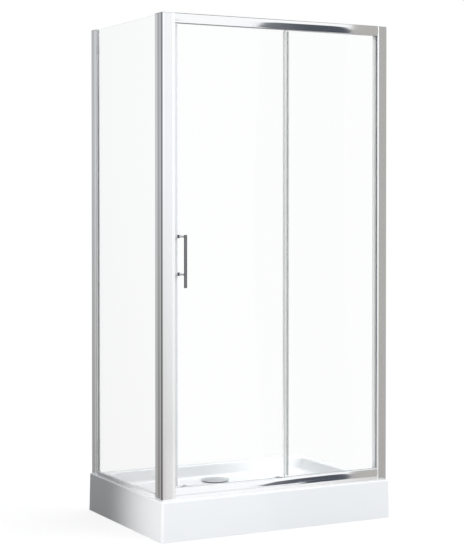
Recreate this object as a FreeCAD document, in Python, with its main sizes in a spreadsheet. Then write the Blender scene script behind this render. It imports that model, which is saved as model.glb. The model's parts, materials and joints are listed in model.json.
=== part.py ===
import FreeCAD, Part
import Sketcher
import os

# Corner shower enclosure: a low tray against two walls, a framed front with one fixed pane and one
# sliding door, and a glass side panel. Millimetres, +Z up, +Y towards the back wall, +X towards
# the right-hand wall; the origin is on the floor under the middle of the tray.

Vector = FreeCAD.Vector
Rotation = FreeCAD.Rotation

doc = FreeCAD.newDocument("ShowerEnclosure")
sheet = doc.addObject("Spreadsheet::Sheet", "Sizes")

drivingSizes = (
    # tray
    ("trayLength", 1000, "along the front, wall to free side"),
    ("trayWidth", 700, "front to back wall"),
    ("trayHeight", 150, "floor to rim"),
    ("apronDraft", 4, "lean of the front and left aprons"),
    ("apronFloorGap", 1, "apron's lower edge above the floor"),
    ("trayCorner", 10, "upright corners of the tray"),
    ("shellWall", 6, "tray shell"),
    ("lipDrop", 35, "turned-down edge along the walls"),
    ("rimFront", 92, "tray edge to basin"),
    ("rimLeft", 62, "tray edge to basin"),
    ("rimBack", 40, "tray edge to basin"),
    ("rimRight", 40, "tray edge to basin"),
    ("basinLean", 14, "inward lean of the basin walls"),
    ("basinCorner", 70, "basin corner at the rim"),
    ("basinFloorFront", 106, "basin floor height at the front"),
    ("basinFloorBack", 100.5, "basin floor height at the back"),
    ("rimRounding", 7, "basin edge"),
    ("floorRounding", 14, "basin wall into floor"),
    ("edgeRounding", 4, "outer rim edge"),
    ("boardThickness", 12, "board under the basin"),
    ("boardInset", 6, "board edge inside the basin foot"),
    # support frame and feet
    ("tubeWidth", 30, "frame tube"),
    ("tubeHeight", 20, "frame tube"),
    ("tubeWall", 1.5, "frame tube"),
    ("frameEndInset", 100, "tray end to the middle of the end cross tubes"),
    ("frameFrontInset", 100, "tray front to the middle of the front long tube"),
    ("frameBackInset", 60, "tray back to the middle of the back long tube"),
    ("middleTube", 140, "middle of the inner cross tubes"),
    ("footRadius", 25, "pad"),
    ("footHeight", 8, "pad"),
    ("studRadius", 5, "threaded stud"),
    ("studTopClear", 3, "stud end below the tube's upper wall"),
    ("bossRadius", 9, "threaded boss under the tube"),
    ("bossHeight", 12, "threaded boss under the tube"),
    ("lockNutAcross", 17, "across flats"),
    ("lockNutHeight", 6, "lock nut"),
    ("threadClear", 0.05, "running clearance of a stud in its thread"),
    # waste
    ("wasteSetback", 152, "waste centre from the back wall"),
    ("wasteSeatHeight", 100, "flange seat in the basin floor"),
    ("wasteSeatRadius", 60, "flange seat"),
    ("wasteHole", 43, "hole in the tray"),
    ("flangeRadius", 57, "waste flange"),
    ("flangeThickness", 2, "waste flange"),
    ("neckOuter", 41, "flange neck"),
    ("neckInner", 38, "flange neck"),
    ("neckLength", 14, "flange neck below its seat"),
    ("cupLedge", 4, "inward ledge that carries the cup"),
    ("sealThickness", 2, "gasket under the tray"),
    ("trapWall", 3, "trap body"),
    ("trapFlange", 56, "trap clamping flange"),
    ("trapBottom", 14, "trap above the floor"),
    ("outletHeight", 37, "outlet axis above the floor"),
    ("pipeRadius", 20.2, "socket for a 40 mm waste pipe"),
    ("socketDepth", 40, "socket for a 40 mm waste pipe"),
    ("socketWall", 3, "socket for a 40 mm waste pipe"),
    ("cupTube", 30, "lift-out cup"),
    ("cupWall", 2, "lift-out cup"),
    ("cupClear", 0.3, "cup in the flange"),
    ("cupDip", 50, "cup below its rim"),
    ("coverRadius", 58, "waste cover"),
    ("coverRise", 6, "crown of the cover"),
    ("coverLift", 3, "water gap under the cover"),
    ("coverThickness", 2, "waste cover"),
    # frame of the front
    ("enclosureHeight", 1800, "rim to top"),
    ("frontInset", 28, "front face behind the tray's front edge"),
    ("leftInset", 17.5, "side face inside the tray's left edge"),
    ("postWidth", 40, "corner post along the front"),
    ("postDepth", 42, "corner post along the side"),
    ("postCorner", 12, "rounded corner of the post"),
    ("profileWall", 1.6, "aluminium sections"),
    ("capThickness", 2, "end caps"),
    ("strikeWidth", 12.5, "strike profile"),
    ("coverSet", 1, "strike and wall profiles behind the rail crown"),
    ("railDepth", 44, "header and sill"),
    ("railCrown", 3, "rounded front of header and sill"),
    ("headerHeight", 38, "header"),
    ("sillHeight", 44, "sill"),
    ("sillBand", 13, "lower band of the sill front"),
    ("sillGroove", 5, "groove above the lower band"),
    ("wallProfileWidth", 33.5, "channel on the wall"),
    ("jambReveal", 6.5, "jamb showing beside the wall channel"),
    ("jambWidth", 30, "jamb that slides in the wall channel"),
    ("telescopeClear", 0.4, "jamb inside the channel"),
    ("glazingBite", 14, "glass in its pocket"),
    ("glazingClear", 2, "glass edge to the pocket's end"),
    ("glassThickness", 6, "all panes"),
    ("gasketThickness", 2.2, "glazing gasket of the front"),
    ("gasketLip", 1, "gasket showing at the pocket's mouth"),
    ("settingBlock", 60, "blocks that the fixed pane stands on"),
    ("portRadius", 1.9, "screw port"),
    ("portWeb", 4.2, "web that holds the port"),
    # sliding door
    ("doorWidth", 480, "door pane"),
    ("doorStartGap", 9, "rail end to the door pane"),
    ("paneOverlap", 19, "door pane behind the fixed pane"),
    ("doorEndGap", 11, "open door pane to the rail's end"),
    ("doorSideGap", 3.4, "pocket wall to the door pane"),
    ("doorTopClear", 2.4, "door pane below the header's top wall"),
    ("doorSillBite", 30, "door pane inside the sill"),
    ("rollerInset", 40, "roller axis from the door's edge"),
    ("hubThickness", 5, "roller hub on the pane"),
    ("hubRadius", 9, "roller hub on the pane"),
    ("wheelGap", 0.5, "hub to wheel"),
    ("wheelWidth", 7, "wheel"),
    ("treadRadius", 8.8, "wheel at the groove's floor"),
    ("wheelFlange", 11, "wheel over its flanges"),
    ("wheelTopClear", 2.7, "wheel below the header's top wall"),
    ("lowerWheelSink", 0.6, "lower wheel's top below the sill's top"),
    ("grooveWidth", 3.6, "wheel groove"),
    ("ribWidth", 2.4, "track rib"),
    ("ribHeight", 3, "track rib"),
    ("rollClear", 0.3, "tread above the rib"),
    ("shelfClear", 1, "hub to the track shelf"),
    ("bearingRadius", 6.5, "bearing"),
    ("bearingWidth", 6.2, "bearing"),
    ("axleRadius", 3, "wheel axle"),
    ("axleClear", 0.05, "running clearance of a bearing on its axle"),
    ("axleHead", 4.4, "axle head"),
    ("axleHeadThickness", 1.6, "axle head"),
    ("glassHole", 5, "holes in the door pane"),
    ("boltRadius", 2, "roller bolts"),
    ("boltHead", 8, "roller bolts"),
    ("boltHeadThickness", 2, "roller bolts"),
    ("bushFlange", 0.6, "plastic bush under the bolt head"),
    ("carrierHalfWidth", 17, "lower carrier"),
    ("carrierBoltOffset", 12, "lower carrier bolts from the wheel's axis"),
    ("carrierBoltDrop", 2.4, "lower carrier bolts below the wheel's axis"),
    ("carrierBottom", 16, "lower carrier above the sill's underside"),
    ("carrierBridge", 2, "bridge over the slider"),
    ("sliderHalfWidth", 6, "release slider"),
    ("sliderClear", 0.2, "release slider in its slot"),
    ("sliderBelow", 6, "release slider below the axle"),
    ("sliderAbove", 2.5, "release slider above the axle"),
    ("releaseTravel", 3.8, "lift of the release slider"),
    ("stemRadius", 1.1, "release stem"),
    ("knobHeight", 3, "release knob"),
    ("knobHalfWidth", 5, "release knob"),
    ("springRadius", 1.75, "mean radius of the release spring"),
    ("springWire", 0.3, "wire radius of the release spring"),
    ("springTurns", 4, "turns of the release spring"),
    ("stopLength", 12, "door stops"),
    ("stopHeight", 18, "door stops"),
    ("sealLegThickness", 1.2, "legs of the push-on seals"),
    ("sealLeg", 9, "push-on seals over the pane's edge"),
    ("sealNose", 3, "push-on seal ahead of the fixed pane's edge"),
    ("sealEndClear", 4, "upright seals short of the rails"),
    ("magnetDepth", 8, "magnet strips, front to back"),
    ("magnetGap", 0.3, "between the closed magnet strips"),
    ("seatClear", 0.1, "strips in their seats"),
    # handle
    ("handleInset", 16, "handle from the door's edge"),
    ("handleHeight", 1055, "middle of the handle posts above the floor"),
    ("handleSpacing", 140, "between the handle posts"),
    ("handleAbove", 7, "bar above the upper post"),
    ("handleBelow", 49, "bar below the lower post"),
    ("handleStandoff", 55, "pane to the middle of the bar"),
    ("handleBar", 6, "bar radius"),
    ("handlePost", 4.5, "post radius"),
    ("handleSocket", 3, "post inside the bar"),
    ("washerRadius", 6.5, "handle washers"),
    ("washerThickness", 3, "handle washers"),
    ("handleBolt", 2.5, "bolt through the pane"),
    ("handleCap", 6.5, "inner cap of the handle"),
    ("handleCapDepth", 6, "inner cap of the handle"),
    # side panel
    ("sideChannel", 16, "side glazing profiles across the glass"),
    ("sideChannelDepth", 22, "profile on the post"),
    ("sideGlassClear", 4.6, "glass edge to the channel's web"),
    ("sideGlassLift", 4, "side glass above the rim"),
    ("sideJambDepth", 38, "jamb that slides in the side wall channel"),
    ("sideJambReveal", 52, "jamb's edge from the back wall"),
    ("sideWallDepth", 33, "channel on the back wall"),
    ("bottomStrip", 14, "strip under the side glass"),
    # fasteners
    ("screwHead", 3.8, "pan-head screws"),
    ("screwHeadThickness", 2.2, "pan-head screws"),
    ("screwLength", 25, "frame screws"),
    ("jambScrewLength", 12, "jamb screws"),
    ("screwEndMargin", 300, "first and last jamb screws from the profile's ends"),
    ("screwCapRadius", 5.5, "screw caps"),
    ("screwCapDepth", 3.6, "screw caps"),
    ("wallHole", 2.75, "holes for the wall screws"),
    ("wallHoleSpread", 1500, "outer pair of wall holes"),
    ("wallHoleMiddle", 500, "inner pair of wall holes"),
)


class Size:
    # A length in millimetres together with the sheet expression that gives it.
    def __init__(self, value, text):
        self.value = value
        self.text = text

    def __add__(self, other):
        return combined(self, "+", other)

    def __radd__(self, other):
        return combined(other, "+", self)

    def __sub__(self, other):
        return combined(self, "-", other)

    def __rsub__(self, other):
        return combined(other, "-", self)

    def __mul__(self, other):
        return combined(self, "*", other)

    def __rmul__(self, other):
        return combined(other, "*", self)

    def __truediv__(self, other):
        return combined(self, "/", other)

    def __neg__(self):
        return combined(0, "-", self)


def sized(amount):
    return amount if isinstance(amount, Size) else Size(float(amount), repr(float(amount)))


def combined(left, sign, right):
    left = sized(left)
    right = sized(right)
    results = {
        "+": lambda a, b: a + b,
        "-": lambda a, b: a - b,
        "*": lambda a, b: a * b,
        "/": lambda a, b: a / b,
    }
    return Size(results[sign](left.value, right.value), "(%s %s %s)" % (left.text, sign, right.text))


def fillSheet():
    for row, (alias, amount, note) in enumerate(drivingSizes, start=1):
        sheet.set("A%d" % row, alias)
        sheet.set("B%d" % row, str(amount))
        sheet.setAlias("B%d" % row, alias)
        sheet.set("C%d" % row, note)
    doc.recompute()


class Driving:
    # The driving sizes by name, read back from the sheet.
    def __getattr__(self, alias):
        return Size(float(sheet.get(alias)), "Sizes." + alias)


fillSheet()
d = Driving()


# ---- places worked out from the driving sizes ----

zero = Size(0.0, "0")
wall = d.profileWall
left = -d.trayLength / 2
right = d.trayLength / 2
front = -d.trayWidth / 2
back = d.trayWidth / 2
rim = d.trayHeight
top = rim + d.enclosureHeight
profileTop = top - d.capThickness
profileLength = profileTop - rim

face = front + d.frontInset
side = left + d.leftInset
postEnd = side + d.postWidth
postBack = face + d.postDepth
railStart = postEnd + d.strikeWidth
wallChannelStart = right - d.wallProfileWidth
railEnd = wallChannelStart - d.jambReveal
railLength = railEnd - railStart
headerBase = top - d.headerHeight
sillTop = rim + d.sillHeight

pocketFront = d.railCrown + wall
fixedFront = pocketFront + d.gasketThickness
fixedRear = fixedFront + d.glassThickness
pocketRear = fixedRear + d.gasketThickness
pocketMiddle = (pocketFront + pocketRear) / 2
dividerRear = pocketRear + wall
doorFront = dividerRear + d.doorSideGap
doorRear = doorFront + d.glassThickness
hubRear = doorRear + d.hubThickness
wheelMiddle = hubRear + d.wheelGap + d.wheelWidth / 2
shelfFront = hubRear + d.shelfClear
railInside = d.railDepth - wall
pocketDepth = d.glazingBite + d.glazingClear
headerWheel = d.headerHeight - wall - d.wheelTopClear - d.wheelFlange
headerShelf = headerWheel - d.treadRadius - d.rollClear - d.ribHeight
sillWheel = d.sillHeight - d.lowerWheelSink - d.wheelFlange
sillShelf = sillWheel - d.treadRadius - d.rollClear - d.ribHeight
headerPort = (pocketDepth + wall + d.headerHeight - wall) / 2
sillPort = (d.sillHeight - pocketDepth) / 2
rearPort = (sillShelf / 2, d.railDepth - 7.8)

doorLead = railStart + d.doorStartGap
doorTrail = doorLead + d.doorWidth
doorTop = headerBase + d.headerHeight - wall - d.doorTopClear
doorBottom = rim + d.sillHeight - d.doorSillBite
doorTravel = railEnd - d.doorEndGap - doorTrail
fixedEdge = doorTrail - d.paneOverlap
rollers = (doorLead + d.rollerInset, doorTrail - d.rollerInset)
upperWheelZ = headerBase + headerWheel
lowerWheelZ = rim + sillWheel
handleX = doorLead + d.handleInset
handlePosts = (d.handleHeight - d.handleSpacing / 2, d.handleHeight + d.handleSpacing / 2)
wasteY = back - d.wasteSetback
boardTop = d.wasteSeatHeight - d.shellWall
tubeTop = boardTop - d.boardThickness
tubeBottom = tubeTop - d.tubeHeight
bossBottom = tubeBottom - d.bossHeight
frameEnd = right - d.frameEndInset
frameFront = front + d.frameFrontInset
frameBack = back - d.frameBackInset
feet = (
    (-frameEnd, frameFront),
    (frameEnd, frameFront),
    (-frameEnd, frameBack),
    (frameEnd, frameBack),
    (zero, zero),
)
screwHeights = (
    rim + d.screwEndMargin,
    rim + profileLength / 2,
    profileTop - d.screwEndMargin,
)
wallHoleHeights = [
    rim + d.enclosureHeight / 2 + offset
    for offset in (-d.wallHoleSpread / 2, -d.wallHoleMiddle / 2, d.wallHoleMiddle / 2, d.wallHoleSpread / 2)
]

# ---- builders ----

nodes = []
turnTo = {
    "x": Rotation(Vector(0, 1, 0), 90),
    "-x": Rotation(Vector(0, 1, 0), -90),
    "y": Rotation(Vector(1, 0, 0), -90),
    "-y": Rotation(Vector(1, 0, 0), 90),
    "z": Rotation(),
}


def bind(target, prop, amount):
    target.setExpression(prop, sized(amount).text)


def place(piece, x, y, z, axis="z"):
    piece.Placement = FreeCAD.Placement(Vector(0, 0, 0), turnTo[axis])
    bind(piece, "Placement.Base.x", x)
    bind(piece, "Placement.Base.y", y)
    bind(piece, "Placement.Base.z", z)
    return piece


def node(piece, label):
    piece.Label = label
    nodes.append(piece)
    return piece


def block(name, x, y, z):
    piece = doc.addObject("Part::Box", name)
    bind(piece, "Length", x[1] - x[0])
    bind(piece, "Width", y[1] - y[0])
    bind(piece, "Height", z[1] - z[0])
    return place(piece, x[0], y[0], z[0])


def rod(name, radius, length, x, y, z, axis="z"):
    piece = doc.addObject("Part::Cylinder", name)
    bind(piece, "Radius", radius)
    bind(piece, "Height", length)
    return place(piece, x, y, z, axis)


def joined(name, pieces):
    piece = doc.addObject("Part::MultiFuse", name)
    piece.Shapes = pieces
    return piece


def grouped(name, pieces):
    piece = doc.addObject("Part::Compound", name)
    piece.Links = pieces
    return piece


def without(name, base, tools):
    piece = doc.addObject("Part::Cut", name)
    piece.Base = base
    piece.Tool = tools[0] if len(tools) == 1 else joined(name + "Cutters", tools)
    return piece


def originPlane(body, role):
    return [feature for feature in body.Origin.OriginFeatures if feature.Role == role][0]


def newSketch(body, role, name, lift=None):
    sketch = body.newObject("Sketcher::SketchObject", name)
    sketch.AttachmentSupport = [(originPlane(body, role), "")]
    sketch.MapMode = "FlatFace"
    if lift is not None:
        bind(sketch, "AttachmentOffset.Base.z", lift)
    return sketch


def corner(before, at, after, radius):
    # The two tangent points and the mid point of a round corner between axis-parallel edges.
    def step(start, end):
        along = [sized(end[i]).value - sized(start[i]).value for i in (0, 1)]
        return [0 if abs(a) < 1e-6 else (1 if a > 0 else -1) for a in along]

    arriving = step(before, at)
    leaving = step(at, after)
    first = tuple(sized(at[i]) - arriving[i] * sized(radius) for i in (0, 1))
    last = tuple(sized(at[i]) + leaving[i] * sized(radius) for i in (0, 1))
    centre = [first[i].value + leaving[i] * sized(radius).value for i in (0, 1)]
    towards = Vector(sized(at[0]).value - centre[0], sized(at[1]).value - centre[1], 0).normalize()
    middle = Vector(centre[0], centre[1], 0) + towards * sized(radius).value
    return first, last, middle


def drawLoop(sketch, points):
    # A closed outline. A point is (x, y), or (x, y, {"round": radius}) for a round corner, or
    # (x, y, {"crown": (radius, bulge)}) where the edge that leaves it is an arc of that radius.
    count = len(points)
    edges = []
    for i, point in enumerate(points):
        options = point[2] if len(point) > 2 else {}
        start = (sized(point[0]), sized(point[1]))
        if "round" in options:
            first, last, middle = corner(points[i - 1], point, points[(i + 1) % count], options["round"])
            edges.append((first, middle, options["round"]))
            start = last
        edges.append((start, options.get("crown"), None))
    starts = [edge[0] for edge in edges]
    base = len(sketch.Geometry)
    ends = []
    for i, (start, shape, radius) in enumerate(edges):
        finish = starts[(i + 1) % len(edges)]
        a = Vector(start[0].value, start[1].value, 0)
        b = Vector(finish[0].value, finish[1].value, 0)
        if shape is None:
            sketch.addGeometry(Part.LineSegment(a, b))
        else:
            middle = shape if radius is not None else (a + b) / 2 + shape[1]
            sketch.addGeometry(Part.Arc(a, middle, b))
        drawn = sketch.Geometry[base + i]
        ends.append((1, 2) if drawn.StartPoint.distanceToPoint(a) < 1e-4 else (2, 1))
    for i, (start, shape, radius) in enumerate(edges):
        before = (i - 1) % len(edges)
        sketch.addConstraint(
            Sketcher.Constraint("Coincident", base + before, ends[before][1], base + i, ends[i][0])
        )
        for kind, amount in (("DistanceX", start[0]), ("DistanceY", start[1])):
            index = sketch.addConstraint(
                Sketcher.Constraint(kind, -1, 1, base + i, ends[i][0], amount.value)
            )
            bind(sketch, "Constraints[%d]" % index, amount)
        if shape is not None:
            size = sized(radius if radius is not None else shape[0])
            index = sketch.addConstraint(Sketcher.Constraint("Radius", base + i, size.value))
            bind(sketch, "Constraints[%d]" % index, size)


def drawCircle(sketch, x, y, radius):
    x = sized(x)
    y = sized(y)
    radius = sized(radius)
    circle = sketch.addGeometry(Part.Circle(Vector(x.value, y.value, 0), Vector(0, 0, 1), radius.value))
    for constraint, amount in (
        (Sketcher.Constraint("DistanceX", -1, 1, circle, 3, x.value), x),
        (Sketcher.Constraint("DistanceY", -1, 1, circle, 3, y.value), y),
        (Sketcher.Constraint("Radius", circle, radius.value), radius),
    ):
        index = sketch.addConstraint(constraint)
        bind(sketch, "Constraints[%d]" % index, amount)


def extrusion(name, role, loops, length, x, y, z, circles=()):
    # A straight section: outlines in the plane's own axes, padded along the plane's normal.
    body = doc.addObject("PartDesign::Body", name)
    sketch = newSketch(body, role, name + "Section")
    for loop in loops:
        drawLoop(sketch, loop)
    for circle in circles:
        drawCircle(sketch, *circle)
    pad = body.newObject("PartDesign::Pad", name + "Pad")
    pad.Profile = sketch
    bind(pad, "Length", length)
    return place(body, x, y, z)


def turned(name, outline, x, y, z, axis="z"):
    # A turned piece: the outline is (radius, distance along the axis).
    body = doc.addObject("PartDesign::Body", name)
    sketch = newSketch(body, "XZ_Plane", name + "Outline")
    drawLoop(sketch, outline)
    revolution = body.newObject("PartDesign::Revolution", name + "Turn")
    revolution.Profile = sketch
    revolution.ReferenceAxis = (sketch, ["V_Axis"])
    revolution.Angle = 360
    return place(body, x, y, z, axis)


def rectangle(x, y, radius=None):
    options = ({"round": radius},) if radius is not None else ()
    return [
        (x[0], y[0]) + options,
        (x[1], y[0]) + options,
        (x[1], y[1]) + options,
        (x[0], y[1]) + options,
    ]


def crownRadius(chord, bulge):
    return (chord * chord / 4 + bulge * bulge) / (2 * bulge)


def depth(amount):
    # A distance behind the front face, as a place along Y.
    return face + amount


def ring(name, inner, outer, height, x, y, z, axis="z"):
    return turned(name, rectangle((inner, outer), (zero, height)), x, y, z, axis)


# ---- tray ----


def loftBetween(name, lower, lowerZ, upper, upperZ, tilt=None):
    # A tapered block between two outlines; tilt lifts the front edge of the lower one.
    body = doc.addObject("PartDesign::Body", name)
    low = newSketch(body, "XY_Plane", name + "Low", lowerZ)
    drawLoop(low, lower)
    if tilt is not None:
        low.AttachmentOffset = FreeCAD.Placement(Vector(0, 0, 0), Rotation(Vector(1, 0, 0), 1))
        bind(low, "AttachmentOffset.Base.z", lowerZ)
        low.setExpression("AttachmentOffset.Rotation.Angle", "-atan(%s)" % sized(tilt).text)
    high = newSketch(body, "XY_Plane", name + "High", upperZ)
    drawLoop(high, upper)
    loft = body.newObject("PartDesign::AdditiveLoft", name + "Loft")
    loft.Profile = low
    loft.Sections = [high]
    loft.Ruled = True
    return place(body, zero, zero, zero)


basinX = (left + d.rimLeft, right - d.rimRight)
basinY = (front + d.rimFront, back - d.rimBack)


def inset(span, amount):
    return (span[0] + amount, span[1] - amount)


def makeTray():
    shellInner = d.trayCorner - d.shellWall / 2
    outer = loftBetween(
        "TrayOutside",
        rectangle((left, right), (front, back), d.trayCorner),
        d.apronFloorGap,
        rectangle((left + d.apronDraft, right), (front + d.apronDraft, back), d.trayCorner),
        rim,
    )
    hollow = loftBetween(
        "TrayUnderside",
        rectangle(inset((left, right), d.shellWall), inset((front, back), d.shellWall), shellInner),
        zero,
        rectangle(
            inset((left + d.apronDraft, right), d.shellWall),
            inset((front + d.apronDraft, back), d.shellWall),
            shellInner,
        ),
        rim - d.shellWall,
    )
    foot = d.basinLean - d.shellWall
    basinBody = loftBetween(
        "BasinOutside",
        rectangle(inset(basinX, foot), inset(basinY, foot), d.basinCorner - foot),
        boardTop,
        rectangle(inset(basinX, -d.shellWall), inset(basinY, -d.shellWall), d.basinCorner + d.shellWall),
        rim - d.shellWall / 2,
    )
    fall = (d.basinFloorFront - d.basinFloorBack) / (basinY[1] - basinY[0])
    middle = (basinY[0] + basinY[1]) / 2
    basin = loftBetween(
        "BasinInside",
        rectangle(inset(basinX, d.basinLean), inset(basinY, d.basinLean), d.basinCorner - d.basinLean),
        (d.basinFloorFront + d.basinFloorBack) / 2 + middle * fall,
        rectangle(basinX, basinY, d.basinCorner),
        rim,
        tilt=fall,
    )
    seat = rod("WasteSeat", d.wasteSeatRadius, rim - d.wasteSeatHeight, zero, wasteY, d.wasteSeatHeight)
    hole = rod("WasteOpening", d.wasteHole, rim, zero, wasteY, zero)
    lipBottom = rim - d.lipDrop
    reach = d.shellWall + d.trayCorner
    openBack = block("OpenBack", (left + reach, right + 1), (back - reach, back + 1), (-1, lipBottom))
    openRight = block("OpenRight", (right - reach, right + 1), (front + reach, back + 1), (-1, lipBottom))
    shell = without("TrayShellOpen", outer, [hollow])
    whole = joined("TrayWhole", [shell, basinBody])
    cut = without("TrayCut", whole, [basin, seat, hole, openBack, openRight])
    doc.recompute()
    rounded = doc.addObject("Part::Fillet", "TrayRounded")
    rounded.Base = cut
    rounded.Edges = trayEdges(cut.Shape)
    return node(rounded, "tray_shell")


def trayEdges(shape):
    # The basin's edge at the rim, its foot, and the outer rim edge of the two free sides.
    chosen = []
    lowest = d.basinFloorBack.value - 0.5
    highest = d.basinFloorFront.value + 0.5
    freeX = left.value + d.apronDraft.value
    freeY = front.value + d.apronDraft.value
    for number, edge in enumerate(shape.Edges, start=1):
        box = edge.BoundBox
        middle = edge.CenterOfMass
        inBasin = basinX[0].value - 1 < middle.x < basinX[1].value + 1
        inBasin = inBasin and basinY[0].value - 1 < middle.y < basinY[1].value + 1
        atRim = box.ZMin > rim.value - 0.01
        aroundWaste = Vector(middle.x, middle.y - wasteY.value, 0).Length < d.wasteSeatRadius.value
        if atRim and inBasin:
            chosen.append((number, d.rimRounding.value, d.rimRounding.value))
        elif inBasin and not aroundWaste and lowest < box.ZMin and box.ZMax < highest:
            chosen.append((number, d.floorRounding.value, d.floorRounding.value))
        elif atRim and (middle.x < freeX + d.trayCorner.value or middle.y < freeY + d.trayCorner.value):
            chosen.append((number, d.edgeRounding.value, d.edgeRounding.value))
    return chosen


def makeBoard():
    edge = d.basinLean - d.shellWall + d.boardInset
    x = inset(basinX, edge)
    y = inset(basinY, edge)
    board = block("BoardBlank", x, y, (tubeTop, boardTop))
    hole = rod("BoardHole", d.wasteSeatRadius, d.boardThickness, zero, wasteY, tubeTop)
    node(without("BoardCut", board, [hole]), "base_board")


def makeTube(name, x, y):
    z = (tubeBottom, tubeTop)
    outer = block(name + "Tube", x, y, z)
    inner = block(name + "Bore", inset(x, d.tubeWall), inset(y, d.tubeWall), inset(z, d.tubeWall))
    return without(name, outer, [inner])


def makeFrame():
    half = d.tubeWidth / 2
    endX = frameEnd + half
    frontY = (frameFront - half, frameFront + half)
    backY = (frameBack - half, frameBack + half)
    tubes = [
        makeTube("FrontTube", (-endX, endX), frontY),
        makeTube("BackTube", (-endX, endX), backY),
    ]
    crosses = (-frameEnd, -d.middleTube, d.middleTube, frameEnd)
    for number, x in enumerate(crosses, start=1):
        tubes.append(makeTube("CrossTube%d" % number, (x - half, x + half), (frontY[1], backY[0])))
    between = (-d.middleTube + half, d.middleTube - half)
    tubes.append(makeTube("CentreTube", between, (-half, half)))
    bosses = [
        rod("Boss%d" % number, d.bossRadius, d.bossHeight, x, y, bossBottom)
        for number, (x, y) in enumerate(feet, start=1)
    ]
    bores = [
        rod("StudBore%d" % number, d.studRadius + d.threadClear, d.bossHeight + d.tubeWall, x, y, bossBottom)
        for number, (x, y) in enumerate(feet, start=1)
    ]
    node(without("FrameWelded", joined("FrameJoined", tubes + bosses), bores), "tray_frame")


def makeFeet():
    studTop = tubeTop - d.tubeWall - d.studTopClear
    chamfer = d.footHeight / 4
    nuts = []
    for number, (x, y) in enumerate(feet, start=1):
        outline = [
            (zero, zero),
            (d.footRadius, zero),
            (d.footRadius, d.footHeight - chamfer),
            (d.footRadius - 2 * chamfer, d.footHeight),
            (d.studRadius, d.footHeight),
            (d.studRadius, studTop),
            (zero, studTop),
        ]
        foot = turned("Foot%d" % number, outline, x, y, zero)
        node(foot, "levelling_foot_%d" % number)
        hexagon = doc.addObject("Part::Prism", "LockHexagon%d" % number)
        hexagon.Polygon = 6
        bind(hexagon, "Circumradius", d.lockNutAcross / 1.7320508)
        bind(hexagon, "Height", d.lockNutHeight)
        place(hexagon, x, y, bossBottom - d.lockNutHeight)
        bore = rod(
            "LockBore%d" % number,
            d.studRadius + d.threadClear,
            d.lockNutHeight,
            x,
            y,
            bossBottom - d.lockNutHeight,
        )
        nuts.append(without("LockNut%d" % number, hexagon, [bore]))
    node(grouped("LockNuts", nuts), "lock_nuts")


# ---- waste ----


def makeWaste():
    seat = d.wasteSeatHeight
    neckBottom = seat - d.neckLength
    ledgeTop = neckBottom + d.cupWall * 1.5
    flange = turned(
        "WasteFlange",
        [
            (d.neckInner - d.cupLedge, neckBottom),
            (d.neckOuter, neckBottom),
            (d.neckOuter, seat),
            (d.flangeRadius, seat),
            (d.flangeRadius, seat + d.flangeThickness / 2),
            (d.flangeRadius - d.flangeThickness, seat + d.flangeThickness),
            (d.neckInner, seat + d.flangeThickness),
            (d.neckInner, ledgeTop),
            (d.neckInner - d.cupLedge, ledgeTop),
        ],
        zero,
        wasteY,
        zero,
    )
    node(flange, "waste_flange")
    sealBottom = boardTop - d.sealThickness
    seal = ring("WasteSeal", d.wasteHole, d.trapFlange, d.sealThickness, zero, wasteY, sealBottom)
    node(seal, "waste_seal")

    trapOuter = d.neckOuter + d.trapWall
    cup = turned(
        "TrapCup",
        [
            (zero, d.trapBottom),
            (trapOuter, d.trapBottom),
            (trapOuter, sealBottom - d.trapWall),
            (d.trapFlange, sealBottom - d.trapWall),
            (d.trapFlange, sealBottom),
            (zero, sealBottom),
        ],
        zero,
        wasteY,
        zero,
    )
    socketOuter = d.pipeRadius + d.socketWall
    socketEnd = wasteY + trapOuter + d.socketDepth
    socket = rod("TrapSocket", socketOuter, socketEnd - wasteY, zero, wasteY, d.outletHeight, "y")
    inside = rod(
        "TrapInside", d.neckOuter, sealBottom, zero, wasteY, d.trapBottom + d.trapWall
    )
    mouth = rod("SocketBore", d.pipeRadius, d.socketDepth + 1, zero, wasteY + trapOuter, d.outletHeight, "y")
    passage = rod(
        "SocketPassage", d.pipeRadius - 3, trapOuter + 1, zero, wasteY, d.outletHeight, "y"
    )
    trap = without("TrapCut", joined("TrapJoined", [cup, socket]), [inside, mouth, passage])
    node(trap, "trap_body")

    rimOuter = d.neckInner - d.cupClear
    cupTop = ledgeTop + d.cupWall
    liftCup = turned(
        "LiftOutCup",
        [
            (d.cupTube - d.cupWall, cupTop - d.cupDip),
            (d.cupTube, cupTop - d.cupDip),
            (d.cupTube, ledgeTop),
            (rimOuter, ledgeTop),
            (rimOuter, cupTop),
            (d.cupTube - d.cupWall, cupTop),
        ],
        zero,
        wasteY,
        zero,
    )
    node(liftCup, "waste_cup")

    flangeTop = seat + d.flangeThickness
    coverBottom = flangeTop + d.coverLift
    crown = crownRadius(2 * d.coverRadius, d.coverRise)
    dome = doc.addObject("Part::Sphere", "CoverSphere")
    bind(dome, "Radius", crown)
    coverEdge = coverBottom + d.coverThickness
    place(dome, zero, wasteY, coverEdge + d.coverRise - crown)
    blank = rod(
        "CoverBlank", d.coverRadius, d.coverThickness + d.coverRise, zero, wasteY, coverBottom
    )
    domed = doc.addObject("Part::Common", "CoverDome")
    domed.Base = dome
    domed.Tool = blank
    legs = []
    for number, (along, across) in enumerate(((1, 1), (-1, 1), (-1, -1), (1, -1)), start=1):
        reach = (d.neckInner + d.flangeRadius) / 2 * 0.7071068
        legs.append(
            rod(
                "CoverLeg%d" % number,
                d.coverThickness,
                d.coverLift + 0.5,
                along * reach,
                wasteY + across * reach,
                flangeTop,
            )
        )
    node(joined("CoverJoined", [domed] + legs), "waste_cover")


# ---- header, sill, posts and jambs ----


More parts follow.
